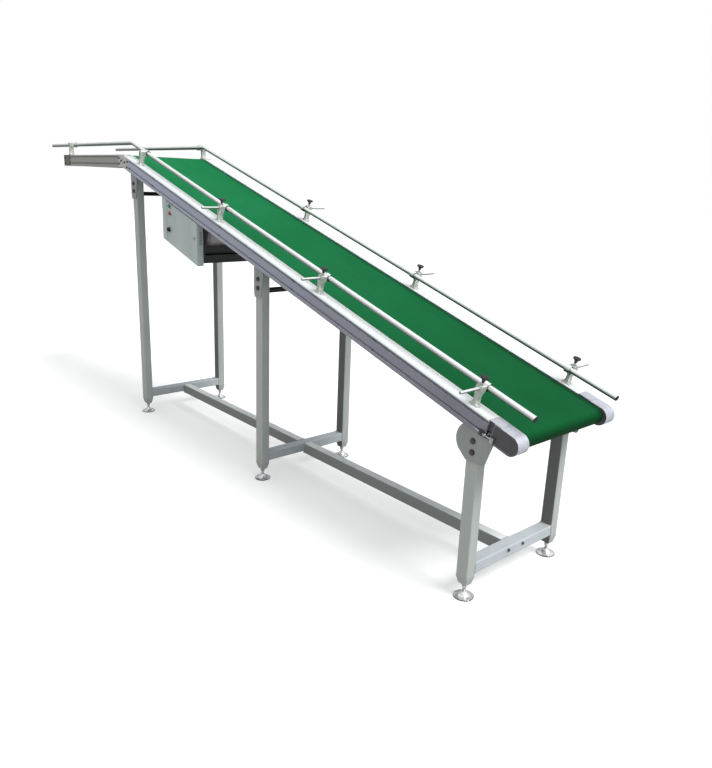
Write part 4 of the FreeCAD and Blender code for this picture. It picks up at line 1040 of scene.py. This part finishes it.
def control_details():
    """Bezels, latch, dial scale, knob pointer and grip, vents and cable gland of the box."""
    door_low, door_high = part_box("control_box_door")
    box_low, box_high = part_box("control_box")
    bezels = Shape()
    for node, inner in BEZELS:
        middle = centre(node)
        outline = mm((0, -0.6), (3.4, -0.6), (3.4, 1.4), (2.2, 3), (0, 3))
        bezels.lathe([(inner + out, height) for out, height in outline],
                     at(middle.x, DOOR_FACE_Y, middle.z) @ outward(-1), 40)
    bezels.finish("control_bezels", "zinc_steel", body="control_box_door")

    dial = centre("speed_knob")

    def round_dial(shape, size, radius, y, angle, soften):
        turn = radians(angle)
        spot = at(dial.x + radius * sin(turn), y, dial.z + radius * cos(turn))
        shape.block(size, spot @ turned(angle, "Y"), soften)

    scale = Shape()
    for k in range(11):
        round_dial(scale, mm(1.1, 0.8, 4.2), DIAL_RADIUS, DOOR_FACE_Y - 0.0002, -150 + 30 * k, 0.0001)
    scale.finish("dial_ticks", "knob_black", body="control_box_door")
    grip = Shape()
    knob_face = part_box("speed_knob")[0].y
    round_dial(grip, mm(1.4, 1, 8.5), 0.005, knob_face - 0.0001, 0, 0.0002)
    for k in range(16):
        round_dial(grip, mm(1.6, 13, 1.2), GRIP_RADIUS, DOOR_FACE_Y - 0.0085, 22.5 * k, 0.0003)
    grip.finish("speed_knob_grip", "knob_black", "rubber", body="speed_knob")

    latch = Shape()
    spot = at(door_high.x - 0.028, DOOR_FACE_Y, (door_low.z + door_high.z) / 2 - 0.02) @ outward(-1)
    latch.lathe(LATCH, spot, 32)
    latch.block(mm(4.5, 13, 5), spot @ at(0, 0, 0.0045), 0.0008)
    latch.finish("door_latch", "zinc_steel", body="control_box_door")

    vents = Shape()
    vent_y = (box_low.y + box_high.y) / 2 + 0.006
    for k in range(7):
        spot = at(box_high.x + 0.0004, vent_y, box_low.z + 0.125 + 0.011 * k)
        vents.block(mm(3, 16, 3), spot @ turned(28, "Y"), 0.0006)
    vents.finish("box_vents", "control_paint", "panel_trim")

    gland = Shape()
    place = at(*CABLE_EXIT) @ turned(-90, "Y")
    gland.lathe(hexagon_head(0.009, 0.006), place, 6)
    gland.lathe(mm((0, 5), (7.2, 5), (6.4, 12), (0, 12.5)), place, 20)
    gland.finish("box_gland", "knob_black", "rubber")


RAIL_START, RAIL_RUN, RAIL_FALL, RAIL_TOP = 0.105, 0.27, 0.0815, 1.395  # the box leans with the slope
TERMINAL_DROP = -0.105  # second mounting rail, below the first
MODULES = mm((45, 70, 16.5), (36, 80, 17.5), (18, 66, 16.5), (18, 66, 16.5), (54, 78, 17))
WIRE = mm((-12, -30), (-15, -45), (-15.5, -66), (-12, -86))  # (y, z) from the upper rail's middle
TERMINAL_SCREW = mm((0, -0.3), (2.6, -0.3), (2.6, 0.6), (1.2, 0.6), (0, 0.2))


def box_interior():
    """What the open door shows: mounting rails, switch modules, a row of terminals and wires."""
    low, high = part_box("control_box")
    rail, modules, wires = Shape(), Shape(), Shape()
    start = Vector((low.x + RAIL_START, high.y - 0.0022, RAIL_TOP))
    middle = at(*(start + Vector((RAIL_RUN, 0, -RAIL_FALL)) / 2)) @ \
        Matrix.Rotation(atan2(RAIL_FALL, RAIL_RUN), 4, "Y")
    for drop in (0, TERMINAL_DROP):
        for z, size in ((0, mm(280, 1.6, 26)), (0.0152, mm(280, 4, 5)), (-0.0152, mm(280, 4, 5))):
            rail.block(size, middle @ at(0, -size[1] / 2, drop + z), 0.0004)
    x = -0.118
    for wide, tall, deep in MODULES:
        place = middle @ at(x + wide / 2, -0.0016 - deep / 2, 0)
        modules.block((wide, deep, tall), place, 0.0012)
        for rise in (tall * 0.36, -tall * 0.36):
            for share in (-0.3, 0, 0.3):
                spot = place @ at(share * wide, -deep / 2, rise)
                modules.lathe(TERMINAL_SCREW, spot @ outward(-1), 12)
        modules.block((wide * 0.45, 0.0022, tall * 0.16), place @ at(0, -deep / 2 - 0.0008, 0), 0.0005)
        x += wide + 0.006
    for k in range(24):
        modules.block(mm(8.2, 15, 34), middle @ at(-0.116 + 0.0088 * k, -0.0095, TERMINAL_DROP), 0.0009)
    for k in range(14):
        x = -0.112 + 0.0165 * k
        hop = 0.006 * sin(1.9 * k)
        line = [Vector((x + aside, y, z)) for aside, (y, z) in zip((0, hop, -hop, 0.004), WIRE)]
        wires.sweep([middle @ point for point in smooth_line(line, 6)], 0.0013, sides=8)
    rail.finish("box_mounting_rails", "zinc_steel", smooth=25)
    modules.finish("box_switch_modules", "knob_black", "module_grey", smooth=30)
    wires.finish("box_wiring", "knob_black", "rubber")


def roller_details():
    """End discs with a raised ring and four studs on the hidden rollers."""
    for node in [name for name in BODIES if "roller" in name or name == "drive_drum"]:
        middle, radius = roller_circle(node)
        face = {"drive_drum": 0.27, "crest_roller": 0.255}.get(node, 0.265)
        ends = Shape()
        for side in (-1, 1):
            place = at(middle.x, side * face, middle.y) @ outward(side)
            ends.lathe(((radius * 0.55, -0.0004), (radius * 0.8, -0.0004), (radius * 0.78, 0.0007),
                        (radius * 0.58, 0.0007)), place, 36)
            for turn in ring(4):
                ends.lathe(mm((0, 0.2), (2.2, 0.2), (2, 0.5), (0, 0.7)),
                           place @ turn @ at(radius * 0.68, 0, 0.0004), 12)
        ends.finish(node + "_end_discs", "roller_metal", body=node)


# ---------------- studio and camera
SUNS = (("key", (0.56, 0.14, 0.82), 2.6, 24), ("fill", (0.25, -0.85, 0.46), 0.2, 60))
CAMERA_FROM_CREST = Vector((4.678, -2.3437, -0.1169))
CAMERA_YAW, CAMERA_PITCH, CAMERA_ROLL = 48.499, 16.058, 2.219
CAMERA_LENS, CAMERA_SENSOR = 32.878, 36  # in mm


def studio():
    """Pale floor, a soft key from above the low end, and a sky that the camera sees as white."""
    bpy.ops.mesh.primitive_plane_add(size=60, location=(0, 0, 0))
    floor = bpy.context.object
    floor.name = "studio_floor"
    tree = Tree()
    seen = tree.node("LightPath").outputs["Is Camera Ray"]
    pale = tree.patches(tree.noise(tree.position(), 3), 0.3, 0.7, (0.6, 0.6, 0.6), (0.62, 0.62, 0.62))
    tree.set(Base_Color=tree.mix(seen, (0.4, 0.41, 0.41), pale), Roughness=0.9, Specular_IOR_Level=0.0,
             Emission_Color=(1, 1, 1), Emission_Strength=tree.times(seen, 0.45))
    floor.data.materials.append(tree.material)

    world = bpy.context.scene.world or bpy.data.worlds.new("studio")
    bpy.context.scene.world = world
    world.use_nodes = True
    world.node_tree.nodes.clear()
    sky = Tree(node_tree=world.node_tree)
    x, y, z = sky.split(sky.node("TexCoord").outputs["Generated"])
    # brighter with height and towards the low end, dimmer on the near side
    rise = sky.times(sky.math("ADD", z, 0.05, clamp=True), 0.62)
    low_end = sky.times(sky.math("MAXIMUM", x, 0), 0.42)
    near_side = sky.times(sky.times(sky.math("MINIMUM", y, 0), -1), 0.16)
    glow = sky.math("ADD", sky.math("ADD", rise, low_end), 0.24)
    glow = sky.math("MAXIMUM", sky.math("SUBTRACT", glow, near_side), 0.08)
    dim = sky.node("Background", {"Color": (0.97, 0.985, 1), "Strength": glow}).outputs[0]
    white = sky.node("Background", {"Color": (1, 1, 1), "Strength": 1}).outputs[0]
    seen = sky.node("LightPath").outputs["Is Camera Ray"]
    sky.node("OutputWorld", {0: sky.node("MixShader", {0: seen, 1: dim, 2: white}).outputs[0]})

    for name, towards, strength, angle in SUNS:
        lamp = bpy.data.lights.new(name, "SUN")
        lamp.energy, lamp.angle = strength, radians(angle)
        new_object(name, lamp).rotation_euler = Vector(towards).to_track_quat("Z", "Y").to_euler()


def camera():
    """Standing eye height, off the low end on the control box side."""
    data = bpy.data.cameras.new("camera")
    data.lens, data.sensor_width, data.clip_end = CAMERA_LENS, CAMERA_SENSOR, 100
    holder = new_object("camera", data)
    holder.matrix_world = at(*(CREST + CAMERA_FROM_CREST)) @ turned(CAMERA_YAW, "Z") @ \
        turned(90 - CAMERA_PITCH, "X") @ turned(CAMERA_ROLL, "Z")
    bpy.context.scene.camera = holder


dress_cad_nodes()
for build in (
        conveyor_belt, weld_beads, hinge_fittings, post_screws, hanger_screws, slot_nuts, tensioners,
        guide_end_plugs, guide_set_screws, knob_details, foot_details, drive_chain, motor_details,
        control_details, box_interior, roller_details):
    build()
studio()
camera()
bpy.context.scene.view_settings.view_transform = "Standard"
